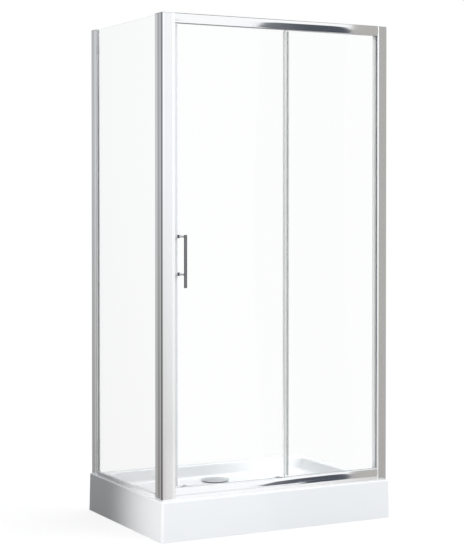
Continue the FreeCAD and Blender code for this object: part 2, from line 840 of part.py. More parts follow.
def makeHeader():
    height = d.headerHeight
    inner = height - wall
    crown = {"crown": (crownRadius(height, d.railCrown), Vector(-d.railCrown.value, 0, 0))}
    ribFront = wheelMiddle - d.ribWidth / 2
    ribRear = wheelMiddle + d.ribWidth / 2
    outline = [
        (d.railCrown, height, crown),
        (d.railCrown, zero),
        (pocketFront, zero),
        (pocketFront, pocketDepth),
        (pocketRear, pocketDepth),
        (pocketRear, zero),
        (dividerRear, zero),
        (dividerRear, inner),
        (railInside, inner),
        (railInside, headerShelf),
        (ribRear, headerShelf),
        (ribRear, headerShelf + d.ribHeight),
        (ribFront, headerShelf + d.ribHeight),
        (ribFront, headerShelf),
        (shelfFront, headerShelf),
        (shelfFront, headerShelf - wall),
        (d.railDepth, headerShelf - wall),
        (d.railDepth, height),
    ]
    pocket = (pocketFront, pocketRear)
    chambers = [
        rectangle(pocket, (pocketDepth + wall, headerPort - d.portWeb / 2)),
        rectangle(pocket, (headerPort + d.portWeb / 2, inner)),
    ]
    header = extrusion(
        "Header",
        "YZ_Plane",
        [outline] + chambers,
        railLength,
        railStart,
        face,
        headerBase,
        [(pocketMiddle, headerPort, d.portRadius)],
    )
    node(header, "header_rail")


def makeSill():
    height = d.sillHeight
    bandTop = d.sillBand + d.sillGroove
    crown = {"crown": (crownRadius(height - bandTop, d.railCrown), Vector(-d.railCrown.value, 0, 0))}
    ribFront = wheelMiddle - d.ribWidth / 2
    ribRear = wheelMiddle + d.ribWidth / 2
    outline = [
        (d.railCrown, height, crown),
        (d.railCrown, bandTop),
        (d.railCrown, d.sillBand),
        (d.coverSet, d.sillBand),
        (d.coverSet, zero),
        (d.railDepth, zero),
        (d.railDepth, sillShelf),
        (ribRear, sillShelf),
        (ribRear, sillShelf + d.ribHeight),
        (ribFront, sillShelf + d.ribHeight),
        (ribFront, sillShelf),
        (shelfFront, sillShelf),
        (shelfFront, wall),
        (dividerRear, wall),
        (dividerRear, height),
        (pocketRear, height),
        (pocketRear, height - pocketDepth),
        (pocketFront, height - pocketDepth),
        (pocketFront, height),
    ]
    pocket = (pocketFront, pocketRear)
    track = (shelfFront + wall, railInside)
    half = d.portWeb / 2
    chambers = [
        rectangle(pocket, (wall, sillPort - half)),
        rectangle(pocket, (sillPort + half, height - pocketDepth - wall)),
        rectangle(track, (wall, rearPort[0] - half)),
        rectangle(track, (rearPort[0] + half, sillShelf - wall)),
    ]
    ports = [(pocketMiddle, sillPort, d.portRadius), (rearPort[1], rearPort[0], d.portRadius)]
    sill = extrusion(
        "Sill", "YZ_Plane", [outline] + chambers, railLength, railStart, face, rim, ports
    )
    node(sill, "sill_rail")


railScrews = (
    (depth(pocketMiddle), headerBase + headerPort),
    (depth(pocketMiddle), rim + sillPort),
    (depth(rearPort[1]), rim + rearPort[0]),
)
strikeScrewY = depth((pocketFront + dividerRear) / 2 - wall)
sideMiddle = side + d.sideChannel / 2


def makePost():
    outline = rectangle((zero, d.postWidth), (zero, d.postDepth))
    outline[0] = outline[0] + ({"round": d.postCorner},)
    hollow = rectangle(inset((zero, d.postWidth), wall), inset((zero, d.postDepth), wall))
    hollow[0] = hollow[0] + ({"round": d.postCorner - wall},)
    post = extrusion("PostSection", "XY_Plane", [outline, hollow], profileLength, side, face, rim)
    access = [
        rod("PostAccess%d" % number, d.screwHead + 1, wall + 2, postEnd - wall - 1, y, z, "x")
        for number, (y, z) in enumerate(railScrews, start=1)
    ]
    tapped = [
        rod("PostTapped%d" % number, d.portRadius, wall + 2, postEnd - wall - 1, strikeScrewY, z, "x")
        for number, z in enumerate(screwHeights, start=1)
    ]
    rear = [
        rod("PostRear%d" % number, d.portRadius, wall + 2, sideMiddle, postBack - wall - 1, z, "y")
        for number, z in enumerate(screwHeights, start=1)
    ]
    node(without("PostDrilled", post, access + tapped + rear), "corner_post")


magnetFront = doorFront + (d.glassThickness - d.magnetDepth) / 2
magnetRear = magnetFront + d.magnetDepth


def makeStrike():
    lipFront = magnetFront - d.seatClear - wall
    lipRear = magnetRear + d.seatClear
    reach = d.strikeWidth * 0.7
    outline = [
        (zero, d.coverSet),
        (d.strikeWidth, d.coverSet),
        (d.strikeWidth, d.coverSet + wall),
        (wall, d.coverSet + wall),
        (wall, lipFront),
        (reach, lipFront),
        (reach, lipFront + wall),
        (wall, lipFront + wall),
        (wall, lipRear),
        (reach, lipRear),
        (reach, lipRear + wall),
        (wall, lipRear + wall),
        (wall, railInside),
        (d.strikeWidth, railInside),
        (d.strikeWidth, d.railDepth),
        (zero, d.railDepth),
    ]
    strike = extrusion("StrikeSection", "XY_Plane", [outline], profileLength, postEnd, face, rim)
    places = list(railScrews) + [(strikeScrewY, z) for z in screwHeights]
    holes = [
        rod("StrikeHole%d" % number, d.portRadius, wall + 2, postEnd - 1, y, z, "x")
        for number, (y, z) in enumerate(places, start=1)
    ]
    node(without("StrikeDrilled", strike, holes), "strike_profile")
    magnet = block(
        "StrikeMagnet",
        (postEnd + wall, railStart + d.doorStartGap - d.magnetGap - doorMagnet),
        (depth(magnetFront), depth(magnetRear)),
        (sillTop + d.sealEndClear, headerBase - d.sealEndClear),
    )
    node(magnet, "strike_magnet")


doorMagnet = d.doorStartGap - 1


def makeJamb():
    frontLeg = d.coverSet + wall + d.telescopeClear
    rearLeg = railInside - d.telescopeClear
    web = d.glazingBite
    width = d.jambWidth
    outline = [
        (zero, frontLeg),
        (width, frontLeg),
        (width, frontLeg + wall),
        (web + wall, frontLeg + wall),
        (web + wall, rearLeg - wall),
        (width, rearLeg - wall),
        (width, rearLeg),
        (zero, rearLeg),
        (zero, rearLeg - wall),
        (web, rearLeg - wall),
        (web, dividerRear),
        (zero, dividerRear),
        (zero, pocketRear),
        (web, pocketRear),
        (web, frontLeg + wall),
        (zero, frontLeg + wall),
    ]
    jamb = extrusion("JambSection", "XY_Plane", [outline], profileLength, railEnd, face, rim)
    webHoles = [
        rod("JambWebHole%d" % number, d.portRadius, wall + 2, railEnd + web - 1, y, z, "x")
        for number, (y, z) in enumerate(railScrews, start=1)
    ]
    legHoles = [
        rod("JambLegHole%d" % number, d.portRadius, wall + 2, jambScrewX, depth(rearLeg - wall - 1), z, "y")
        for number, z in enumerate(screwHeights, start=1)
    ]
    node(without("JambDrilled", jamb, webHoles + legHoles), "right_jamb")


jambScrewX = wallChannelStart + (railEnd + d.jambWidth - wallChannelStart) / 2


def makeWallChannel():
    width = d.wallProfileWidth
    outline = [
        (zero, d.coverSet),
        (width, d.coverSet),
        (width, d.railDepth),
        (zero, d.railDepth),
        (zero, railInside),
        (width - wall, railInside),
        (width - wall, d.coverSet + wall),
        (zero, d.coverSet + wall),
    ]
    channel = extrusion(
        "WallChannelSection", "XY_Plane", [outline], profileLength, wallChannelStart, face, rim
    )
    wallHoles = [
        rod("WallHole%d" % number, d.wallHole, wall + 2, right - wall - 1, wallHoleY, z, "x")
        for number, z in enumerate(wallHoleHeights, start=1)
    ]
    legHoles = [
        rod("ChannelLegHole%d" % number, d.portRadius, wall + 2, jambScrewX, depth(railInside - 1), z, "y")
        for number, z in enumerate(screwHeights, start=1)
    ]
    node(without("WallChannelDrilled", channel, wallHoles + legHoles), "right_wall_channel")


wallHoleY = depth((d.coverSet + d.railDepth) / 2)


# ---- side panel ----

sideJambStart = back - d.sideJambReveal
sideWallStart = back - d.sideWallDepth
sideOuter = wall + d.telescopeClear
sideScrewY = sideWallStart + (sideJambStart + d.sideJambDepth - sideWallStart) / 2
sideGlassX = (sideMiddle - d.glassThickness / 2, sideMiddle + d.glassThickness / 2)
sideGlassEnd = sideJambStart + d.glazingBite - d.glazingClear
sideInnerFace = side + d.sideChannel + sideOuter


def channelOutline(width, length):
    # A U section that opens towards +Y.
    return [
        (zero, zero),
        (width, zero),
        (width, length),
        (width - wall, length),
        (width - wall, wall),
        (wall, wall),
        (wall, length),
        (zero, length),
    ]


def makeSideProfiles():
    width = d.sideChannel
    onPost = extrusion(
        "SidePostSection",
        "XY_Plane",
        [channelOutline(width, d.sideChannelDepth)],
        profileLength,
        side,
        postBack,
        rim,
    )
    holes = [
        rod("SidePostHole%d" % number, d.portRadius, wall + 2, sideMiddle, postBack - 1, z, "y")
        for number, z in enumerate(screwHeights, start=1)
    ]
    node(without("SidePostDrilled", onPost, holes), "side_post_channel")

    pocket = d.glazingBite
    length = d.sideJambDepth
    jambOutline = [
        (zero, zero),
        (wall, zero),
        (wall, pocket),
        (width - wall, pocket),
        (width - wall, zero),
        (width, zero),
        (width, length),
        (width - wall, length),
        (width - wall, pocket + wall),
        (wall, pocket + wall),
        (wall, length),
        (zero, length),
    ]
    jamb = extrusion(
        "SideJambSection", "XY_Plane", [jambOutline], profileLength, side, sideJambStart, rim
    )
    jambHoles = [
        rod("SideJambHole%d" % number, d.portRadius, wall + 2, side + width - wall - 1, sideScrewY, z, "x")
        for number, z in enumerate(screwHeights, start=1)
    ]
    node(without("SideJambDrilled", jamb, jambHoles), "side_jamb")

    outerWidth = width + 2 * sideOuter
    length = d.sideWallDepth
    outline = [
        (zero, zero),
        (wall, zero),
        (wall, length - wall),
        (outerWidth - wall, length - wall),
        (outerWidth - wall, zero),
        (outerWidth, zero),
        (outerWidth, length),
        (zero, length),
    ]
    channel = extrusion(
        "SideWallSection", "XY_Plane", [outline], profileLength, side - sideOuter, sideWallStart, rim
    )
    wallHoles = [
        rod("SideWallHole%d" % number, d.wallHole, wall + 2, sideMiddle, back - wall - 1, z, "y")
        for number, z in enumerate(wallHoleHeights, start=1)
    ]
    legHoles = [
        rod(
            "SideLegHole%d" % number,
            d.portRadius,
            wall + 2,
            sideInnerFace - wall - 1,
            sideScrewY,
            z,
            "x",
        )
        for number, z in enumerate(screwHeights, start=1)
    ]
    node(without("SideWallDrilled", channel, wallHoles + legHoles), "side_wall_channel")


def makeSideGlass():
    glass = block(
        "SideGlass",
        sideGlassX,
        (postBack + d.sideGlassClear, sideGlassEnd),
        (rim + d.sideGlassLift, profileTop),
    )
    node(glass, "side_glass")
    spans = (
        (postBack + d.sideGlassClear, postBack + d.sideChannelDepth + d.gasketLip),
        (sideJambStart - d.gasketLip, sideGlassEnd),
    )
    strips = []
    for number, span in enumerate(spans, start=1):
        for letter, x in (("A", (side + wall, sideGlassX[0])), ("B", (sideGlassX[1], side + d.sideChannel - wall))):
            bottom = rim + d.bottomStrip
            strips.append(block("SideGasket%d%s" % (number, letter), x, span, (bottom, profileTop)))
    node(grouped("SideGaskets", strips), "side_gaskets")
    slot = (d.sideChannel - d.glassThickness) / 2
    fit = slot - d.seatClear
    rounding = {"round": wall}
    width = d.sideChannel
    outline = [
        (zero, zero),
        (width, zero),
        (width, d.bottomStrip, rounding),
        (width - fit, d.bottomStrip),
        (width - fit, d.sideGlassLift),
        (fit, d.sideGlassLift),
        (fit, d.bottomStrip),
        (zero, d.bottomStrip, rounding),
    ]
    start = postBack + d.sideChannelDepth
    strip = extrusion(
        "BottomStripSection", "XZ_Plane", [outline], sideJambStart - start, side, sideJambStart, rim
    )
    node(strip, "side_bottom_strip")


# ---- fixed pane ----


def makeFixedPane():
    glassEnd = railEnd + d.glazingBite - d.glazingClear
    low = sillTop - d.glazingBite
    high = headerBase + d.glazingBite
    glass = block("FixedGlass", (fixedEdge, glassEnd), (depth(fixedFront), depth(fixedRear)), (low, high))
    node(glass, "fixed_glass")
    layers = {
        "Front": (depth(pocketFront), depth(fixedFront)),
        "Rear": (depth(fixedRear), depth(pocketRear)),
    }
    start = fixedEdge + sealCover
    gaskets = []
    for layer, y in layers.items():
        gaskets.append(block("HeaderGasket" + layer, (start, railEnd), y, (headerBase - d.gasketLip, high)))
        gaskets.append(block("SillGasket" + layer, (start, railEnd), y, (low, sillTop + d.gasketLip)))
        upright = (sillTop + d.gasketLip, headerBase - d.gasketLip)
        gaskets.append(block("JambGasket" + layer, (railEnd - d.gasketLip, glassEnd), y, upright))
    length = d.settingBlock
    for number, x in enumerate((start + length, railEnd - 2 * length), start=1):
        span = (x, x + length)
        y = (depth(fixedFront), depth(fixedRear))
        gaskets.append(block("SettingBlock%d" % number, span, y, (low - d.glazingClear, low)))
    node(grouped("FixedGaskets", gaskets), "fixed_gaskets")

    leg = d.sealLegThickness
    nose = -d.sealNose
    height = headerBase - sillTop - 2 * d.sealEndClear
    outline = [
        (nose, -leg),
        (sealCover, -leg),
        (sealCover, zero),
        (zero, zero),
        (zero, d.glassThickness),
        (sealCover, d.glassThickness),
        (sealCover, d.glassThickness + leg),
        (-leg, d.glassThickness + leg),
        (nose, fixedFin - fixedFront),
        (nose - leg, fixedFin - fixedFront),
        (nose - leg, -leg),
    ]
    seal = extrusion(
        "FixedSealSection",
        "XY_Plane",
        [outline],
        height,
        fixedEdge,
        depth(fixedFront),
        sillTop + d.sealEndClear,
    )
    node(seal, "fixed_edge_seal")


sealCover = d.sealLeg / 2
fixedFin = dividerRear


# ---- sliding door ----


def glassHoles():
    holes = [(x, upperWheelZ) for x in rollers]
    for x in rollers:
        for way in (-1, 1):
            holes.append((x + way * d.carrierBoltOffset, lowerWheelZ - d.carrierBoltDrop))
    return holes


def makeDoorGlass():
    pane = block("DoorPane", (doorLead, doorTrail), (depth(doorFront), depth(doorRear)), (doorBottom, doorTop))
    places = glassHoles() + [(handleX, z) for z in handlePosts]
    holes = [
        rod("PaneHole%d" % number, d.glassHole, d.glassThickness + 2, x, depth(doorFront) - 1, z, "y")
        for number, (x, z) in enumerate(places, start=1)
    ]
    node(without("DoorPaneDrilled", pane, holes), "door_glass")


def makeDoorSeals():
    leg = d.sealLegThickness
    height = headerBase - sillTop - 2 * d.sealEndClear
    bottom = sillTop + d.sealEndClear
    magnetLow = (d.glassThickness - d.magnetDepth) / 2
    magnetHigh = magnetLow + d.magnetDepth
    lead = [
        (-doorMagnet, magnetLow),
        (zero, magnetLow),
        (d.sealLeg, -leg),
        (d.sealLeg, zero),
        (zero, zero),
        (zero, d.glassThickness),
        (d.sealLeg, d.glassThickness),
        (d.sealLeg, d.glassThickness + leg),
        (zero, magnetHigh),
        (-doorMagnet, magnetHigh),
    ]
    leadSeal = extrusion("LeadSealSection", "XY_Plane", [lead], height, doorLead, depth(doorFront), bottom)
    node(leadSeal, "door_lead_seal")
    fin = fixedRear + 0.5 - doorFront
    trail = [
        (-sealCover, -leg),
        (zero, -leg),
        (zero, fin),
        (leg, fin),
        (2 * leg, -leg),
        (2 * leg, d.glassThickness + leg),
        (-sealCover, d.glassThickness + leg),
        (-sealCover, d.glassThickness),
        (zero, d.glassThickness),
        (zero, zero),
        (-sealCover, zero),
    ]
    trailSeal = extrusion("TrailSealSection", "XY_Plane", [trail], height, doorTrail, depth(doorFront), bottom)
    node(trailSeal, "door_trail_seal")


def axleOutline(start, base):
    # The stub axle of a wheel, from its shoulder to its head; distances are from the pane.
    shoulder = d.hubThickness + d.wheelGap + (d.wheelWidth - d.bearingWidth) / 2 - 0.1
    end = d.hubThickness + d.wheelGap + d.wheelWidth
    head = d.axleHead
    return [
        (head, start),
        (head, shoulder - base),
        (d.axleRadius, shoulder - base),
        (d.axleRadius, end - base),
        (head, end - base),
        (head, end + d.axleHeadThickness - base),
        (zero, end + d.axleHeadThickness - base),
    ]


def makeHubs():
    hubs = []
    threadEnd = d.hubThickness + d.wheelGap
    for number, x in enumerate(rollers, start=1):
        outline = [
            (d.boltRadius, zero),
            (d.hubRadius, zero),
            (d.hubRadius, d.hubThickness),
        ]
        outline += axleOutline(d.hubThickness, zero)
        outline += [(zero, threadEnd), (d.boltRadius, threadEnd)]
        hubs.append(turned("Hub%d" % number, outline, x, depth(doorRear), upperWheelZ, "y"))
    node(grouped("Hubs", hubs), "roller_hubs")


def makeBolts():
    bolts = []
    bushes = []
    headFront = doorFront - d.bushFlange - d.boltHeadThickness
    seat = doorFront - d.bushFlange
    shank = d.boltHeadThickness + d.bushFlange + d.glassThickness + d.hubThickness - 1
    for number, (x, z) in enumerate(glassHoles(), start=1):
        bolt = [
            (zero, zero),
            (d.boltHead - 1, zero),
            (d.boltHead, sized(1)),
            (d.boltHead, d.boltHeadThickness),
            (d.boltRadius, d.boltHeadThickness),
            (d.boltRadius, shank),
            (zero, shank),
        ]
        bolts.append(turned("RollerBolt%d" % number, bolt, x, depth(headFront), z, "y"))
        bush = [
            (d.boltRadius, zero),
            (d.boltHead, zero),
            (d.boltHead, d.bushFlange),
            (d.glassHole, d.bushFlange),
            (d.glassHole, d.bushFlange + d.glassThickness),
            (d.boltRadius, d.bushFlange + d.glassThickness),
        ]
        bushes.append(turned("RollerBush%d" % number, bush, x, depth(seat), z, "y"))
    node(grouped("RollerBolts", bolts), "roller_bolts")
    node(grouped("RollerBushes", bushes), "roller_bushes")


def makeWheel(name, x, z, tyreLabel, bearingLabel):
    half = d.wheelWidth / 2
    groove = d.grooveWidth / 2
    flare = half - 0.8
    tyre = [
        (d.bearingRadius, -half),
        (d.wheelFlange - 0.8, -half),
        (d.wheelFlange, -flare),
        (d.wheelFlange, -groove - 0.4),
        (d.treadRadius, -groove),
        (d.treadRadius, groove),
        (d.wheelFlange, groove + 0.4),
        (d.wheelFlange, flare),
        (d.wheelFlange - 0.8, half),
        (d.bearingRadius, half),
    ]
    node(turned(name + "Tyre", tyre, x, depth(wheelMiddle), z, "y"), tyreLabel)
    halfBearing = d.bearingWidth / 2
    bore = d.axleRadius + d.axleClear
    recess = (bore + d.bearingRadius) / 2
    bearing = [
        (bore, -halfBearing),
        (recess - 0.7, -halfBearing),
        (recess - 0.7, -halfBearing + 0.5),
        (recess + 0.7, -halfBearing + 0.5),
        (recess + 0.7, -halfBearing),
        (d.bearingRadius, -halfBearing),
        (d.bearingRadius, halfBearing),
        (bore, halfBearing),
    ]
    node(turned(name + "Bearing", bearing, x, depth(wheelMiddle), z, "y"), bearingLabel)


def makeCarriers():
    carriers = []
    carrierTop = rim + d.sillHeight - 0.4
    slotBottom = lowerWheelZ - d.sliderBelow - d.sliderClear
    y = (depth(doorRear), depth(hubRear))
    for number, x in enumerate(rollers, start=1):
        halfWidth = d.carrierHalfWidth
        plate = block(
            "CarrierPlate%d" % number, (x - halfWidth, x + halfWidth), y, (rim + d.carrierBottom, carrierTop)
        )
        halfSlot = d.sliderHalfWidth + d.sliderClear
        slot = block(
            "CarrierSlot%d" % number,
            (x - halfSlot, x + halfSlot),
            (y[0] - 1, y[1] + 1),
            (slotBottom, carrierTop - d.carrierBridge),
        )
        stemHole = rod(
            "StemHole%d" % number,
            d.stemRadius + d.sliderClear,
            d.carrierBridge + 2,
            x,
            depth(doorRear + d.hubThickness / 2),
            carrierTop - d.carrierBridge - 1,
        )
        taps = [
            rod(
                "CarrierTap%d%s" % (number, letter),
                d.boltRadius,
                d.hubThickness - 1,
                x + way * d.carrierBoltOffset,
                depth(doorRear),
                lowerWheelZ - d.carrierBoltDrop,
                "y",
            )
            for letter, way in (("A", -1), ("B", 1))
        ]
        carriers.append(without("Carrier%d" % number, plate, [slot, stemHole] + taps))
    node(grouped("Carriers", carriers), "lower_carriers")
    return carrierTop


def makeRelease(number, x, carrierTop):
    y = (depth(doorRear + d.sliderClear), depth(hubRear - d.sliderClear))
    sliderTop = lowerWheelZ + d.sliderAbove
    body = block(
        "SliderBlock%d" % number,
        (x - d.sliderHalfWidth, x + d.sliderHalfWidth),
        y,
        (lowerWheelZ - d.sliderBelow, sliderTop),
    )
    blockRear = d.hubThickness - d.sliderClear
    axle = turned(
        "SliderAxle%d" % number,
        [(zero, blockRear)] + axleOutline(blockRear, zero),
        x,
        depth(doorRear),
        lowerWheelZ,
        "y",
    )
    stemY = depth(doorRear + d.hubThickness / 2)
    knobBottom = carrierTop + 1
    stem = rod("ReleaseStem%d" % number, d.stemRadius, knobBottom + 1 - sliderTop, x, stemY, sliderTop)
    knob = block(
        "ReleaseKnob%d" % number,
        (x - d.knobHalfWidth, x + d.knobHalfWidth),
        (y[0], y[1] + 1),
        (knobBottom, knobBottom + d.knobHeight),
    )
    slider = joined("Slider%d" % number, [body, axle, stem, knob])
    node(slider, "release_slider_%d" % number)

    springBottom = sliderTop + d.springWire + d.seatClear
    springTop = carrierTop - d.carrierBridge - d.springWire - d.seatClear
    coil = doc.addObject("Part::Helix", "SpringPath%d" % number)
    bind(coil, "Radius", d.springRadius)
    bind(coil, "Height", springTop - springBottom)
    bind(coil, "Pitch", (springTop - springBottom) / d.springTurns)
    wire = doc.addObject("Part::Circle", "SpringWire%d" % number)
    bind(wire, "Radius", d.springWire)
    wire.Placement = FreeCAD.Placement(Vector(0, 0, 0), Rotation(Vector(1, 0, 0), 90))
    bind(wire, "Placement.Base.x", d.springRadius)
    doc.recompute()
    spring = doc.addObject("Part::Sweep", "Spring%d" % number)
    spring.Sections = [wire]
    spring.Spine = (coil, [])
    spring.Solid = True
    spring.Frenet = True
    place(spring, x, stemY, springBottom)
    node(spring, "release_spring_%d" % number)


def makeStops():
    y = (depth(wheelMiddle + d.grooveWidth / 2 - 0.4), depth(railInside))
    z = (headerBase + headerShelf, headerBase + headerShelf + d.stopHeight)
    closed = rollers[0] - d.wheelFlange - d.rollClear
    opened = rollers[1] + doorTravel + d.wheelFlange + d.rollClear
    stops = [
        block("StopClosed", (closed - d.stopLength, closed), y, z),
        block("StopOpen", (opened, opened + d.stopLength), y, z),
    ]
    node(grouped("Stops", stops), "door_stops")


# ---- handle ----


def makeHandle():
    barY = depth(doorFront) - d.handleStandoff
    low = handlePosts[0] - d.handleBelow
    high = handlePosts[1] + d.handleAbove
    edge = d.handleBar / 6
    outline = [
        (zero, zero),
        (d.handleBar - edge, zero),
        (d.handleBar, edge),
        (d.handleBar, high - low - edge),
        (d.handleBar - edge, high - low),
        (zero, high - low),
    ]
    bar = turned("HandleBarTurned", outline, handleX, barY, low)
    washerFace = doorFront - d.washerThickness
    postStart = barY + d.handleBar - d.handleSocket
    sockets = []
    posts = []
    washers = []
    caps = []
    boltEnd = d.handleStandoff / 2
    for number, z in enumerate(handlePosts, start=1):
        length = depth(washerFace) - postStart
        sockets.append(rod("BarSocket%d" % number, d.handlePost, length, handleX, postStart, z, "y"))
        post = [
            (zero, zero),
            (d.handlePost, zero),
            (d.handlePost, length),
            (d.handleBolt, length),
            (d.handleBolt, length - boltEnd),
            (zero, length - boltEnd),
        ]
        posts.append(turned("HandlePost%d" % number, post, handleX, postStart, z, "y"))
        for letter, place0, thickness in (
            ("Front", washerFace, d.washerThickness),
            ("Rear", doorRear, d.washerThickness / 2),
        ):
            washers.append(
                turned(
                    "HandleWasher%s%d" % (letter, number),
                    rectangle((d.handleBolt, d.washerRadius), (zero, thickness)),
                    handleX,
                    depth(place0),
                    z,
                    "y",
                )
            )
        capSeat = doorRear + d.washerThickness / 2
        tip = capSeat - washerFace + boltEnd - 1
        cap = [
            (zero, -tip),
            (d.handleBolt, -tip),
            (d.handleBolt, zero),
            (d.handleCap, zero),
            (d.handleCap, d.handleCapDepth / 2),
            (d.handleCap - d.handleCapDepth / 2, d.handleCapDepth),
            (zero, d.handleCapDepth),
        ]
        caps.append(turned("HandleCap%d" % number, cap, handleX, depth(capSeat), z, "y"))
    node(without("HandleBarDrilled", bar, sockets), "handle_bar")
    node(grouped("HandlePosts", posts), "handle_posts")
    node(grouped("HandleWashers", washers), "handle_washers")
    node(grouped("HandleCaps", caps), "handle_inner_caps")


# ---- fasteners and caps ----


def screw(name, length, x, y, z, axis):
    # The head's seat is at the given place; the shank runs along the axis.
    outline = [
        (zero, -d.screwHeadThickness),
        (d.screwHead - 1, -d.screwHeadThickness),
        (d.screwHead, -d.screwHeadThickness + 1),
        (d.screwHead, zero),
        (d.portRadius, zero),
        (d.portRadius, length - 2),
        (d.portRadius / 4, length),
        (zero, length),
    ]
    return turned(name, outline, x, y, z, axis)


def makeScrews():
    frameScrews = []
    for number, (y, z) in enumerate(railScrews, start=1):
        frameScrews.append(screw("LeftRailScrew%d" % number, d.screwLength, postEnd, y, z, "x"))
        seat = railEnd + d.glazingBite + wall
        frameScrews.append(screw("RightRailScrew%d" % number, d.screwLength, seat, y, z, "-x"))
    for number, z in enumerate(screwHeights, start=1):
        seat = postEnd + wall
        frameScrews.append(screw("StrikeScrew%d" % number, d.screwLength, seat, strikeScrewY, z, "-x"))
        seat = postBack + wall
        frameScrews.append(screw("SideScrew%d" % number, d.screwLength, sideMiddle, seat, z, "-y"))
    node(grouped("FrameScrews", frameScrews), "frame_screws")

    jambScrews = []
    caps = []
    inner = d.screwCapDepth - 1
    cap = [
        (d.screwHead + 0.3, zero),
        (d.screwCapRadius, zero),
        (d.screwCapRadius, d.screwCapDepth / 2),
        (d.screwCapRadius - d.screwCapDepth / 2, d.screwCapDepth),
        (zero, d.screwCapDepth),
        (zero, inner),
        (d.screwHead + 0.3, inner),
    ]
    for number, z in enumerate(screwHeights, start=1):
        y = depth(d.railDepth)
        jambScrews.append(screw("JambScrew%d" % number, d.jambScrewLength, jambScrewX, y, z, "-y"))
        caps.append(turned("JambCap%d" % number, cap, jambScrewX, y, z, "y"))
        x = sideInnerFace
        jambScrews.append(screw("SideJambScrew%d" % number, d.jambScrewLength, x, sideScrewY, z, "-x"))
        caps.append(turned("SideJambCap%d" % number, cap, x, sideScrewY, z, "x"))
    node(grouped("JambScrews", jambScrews), "jamb_screws")
    node(grouped("ScrewCaps", caps), "screw_caps")


def makeCaps():
    outline = rectangle((zero, d.postWidth), (zero, d.postDepth))
    outline[0] = outline[0] + ({"round": d.postCorner},)
    cap = extrusion("PostCap", "XY_Plane", [outline], d.capThickness, side, face, profileTop)
    node(cap, "post_cap")
    z = (profileTop, top)
    sideEnd = sideWallStart
    caps = [
        block("StrikeCap", (postEnd, railStart), (depth(d.coverSet), depth(d.railDepth)), z),
        block("SidePostCap", (side, side + d.sideChannel), (postBack, postBack + d.sideChannelDepth), z),
        block("SideJambCapPlate", (side, side + d.sideChannel), (sideJambStart, sideEnd), z),
        block("SideWallCap", (side - sideOuter, sideInnerFace), (sideWallStart, back), z),
        block("JambCapPlate", (railEnd, wallChannelStart), (depth(pocketFront - wall), depth(railInside)), z),
        block("WallCap", (wallChannelStart, right), (depth(d.coverSet), depth(d.railDepth)), z),
    ]
    node(grouped("ChannelCaps", caps), "channel_caps")


# ---- the whole enclosure ----

makeTray()
makeBoard()
makeFrame()
makeFeet()
makeWaste()
makePost()
makeStrike()
makeHeader()
makeSill()
makeJamb()
makeWallChannel()
makeSideProfiles()
makeSideGlass()
makeFixedPane()
makeDoorGlass()
makeDoorSeals()
makeHubs()
makeBolts()
releaseTop = makeCarriers()
for number, x in enumerate(rollers, start=1):
    makeWheel("UpperWheel%d" % number, x, upperWheelZ, "upper_wheel_%d" % number, "upper_bearing_%d" % number)
    makeWheel("LowerWheel%d" % number, x, lowerWheelZ, "lower_wheel_%d" % number, "lower_bearing_%d" % number)
    makeRelease(number, x, releaseTop)
makeStops()
makeHandle()
makeScrews()
makeCaps()

doc.recompute()
failed = [item.Name for item in doc.Objects if "Invalid" in item.State or "Error" in item.State]
if failed:
    raise ValueError("objects that did not build: %s" % failed)
os.makedirs("parts", exist_ok=True)
for piece in nodes:
    shape = piece.Shape
    if shape.isNull() or not shape.isValid() or not shape.Solids:
        raise ValueError("%s has no valid solid" % piece.Label)
    shape.exportStep("parts/%s.step" % piece.Label)
    print("%-20s solids %2d  volume %12.1f" % (piece.Label, len(shape.Solids), shape.Volume))
print("%d nodes" % len(nodes))
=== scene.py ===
import json
import math

import bmesh
import bpy
from mathutils import Matrix, Vector


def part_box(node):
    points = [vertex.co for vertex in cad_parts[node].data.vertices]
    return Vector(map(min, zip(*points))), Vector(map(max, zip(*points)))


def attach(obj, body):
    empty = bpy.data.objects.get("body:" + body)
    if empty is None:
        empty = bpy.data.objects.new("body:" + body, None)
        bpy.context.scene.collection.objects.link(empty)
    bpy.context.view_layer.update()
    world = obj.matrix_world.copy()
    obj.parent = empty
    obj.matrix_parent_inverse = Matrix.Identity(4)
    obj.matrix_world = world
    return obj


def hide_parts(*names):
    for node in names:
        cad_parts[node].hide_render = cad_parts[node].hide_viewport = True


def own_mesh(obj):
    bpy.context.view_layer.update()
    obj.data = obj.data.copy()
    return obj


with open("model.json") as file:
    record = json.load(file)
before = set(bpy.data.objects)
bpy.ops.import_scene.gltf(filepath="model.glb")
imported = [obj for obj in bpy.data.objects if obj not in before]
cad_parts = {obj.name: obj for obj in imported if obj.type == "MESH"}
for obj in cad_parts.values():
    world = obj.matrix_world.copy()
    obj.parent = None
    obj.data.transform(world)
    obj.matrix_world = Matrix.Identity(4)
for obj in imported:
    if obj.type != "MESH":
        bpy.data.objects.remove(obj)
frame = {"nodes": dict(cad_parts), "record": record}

scene = bpy.context.scene
bodies = frame["record"]["behaviour"]["bodies"]
bodyOf = {piece: body for body, pieces in bodies.items() for piece in pieces}
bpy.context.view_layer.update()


# where the photograph was taken from, and its lens
cameraSizes = {
    "place": (-2.815, -5.296, 1.240),
    "forward": (0.4662, 0.8846, -0.01745),
    "lens": 97.49,
    "shiftY": -0.0805,
    "reach": 60,
}


def addCamera(s):
    camera = bpy.data.cameras.new("photoCamera")
    camera.lens = s["lens"]
    camera.shift_y = s["shiftY"]
    camera.clip_end = s["reach"]
    holder = bpy.data.objects.new("photoCamera", camera)
    scene.collection.objects.link(holder)
    holder.location = s["place"]
    holder.rotation_euler = Vector(s["forward"]).to_track_quat("-Z", "Y").to_euler()
    scene.camera = holder


addCamera(cameraSizes)
print("camera set")


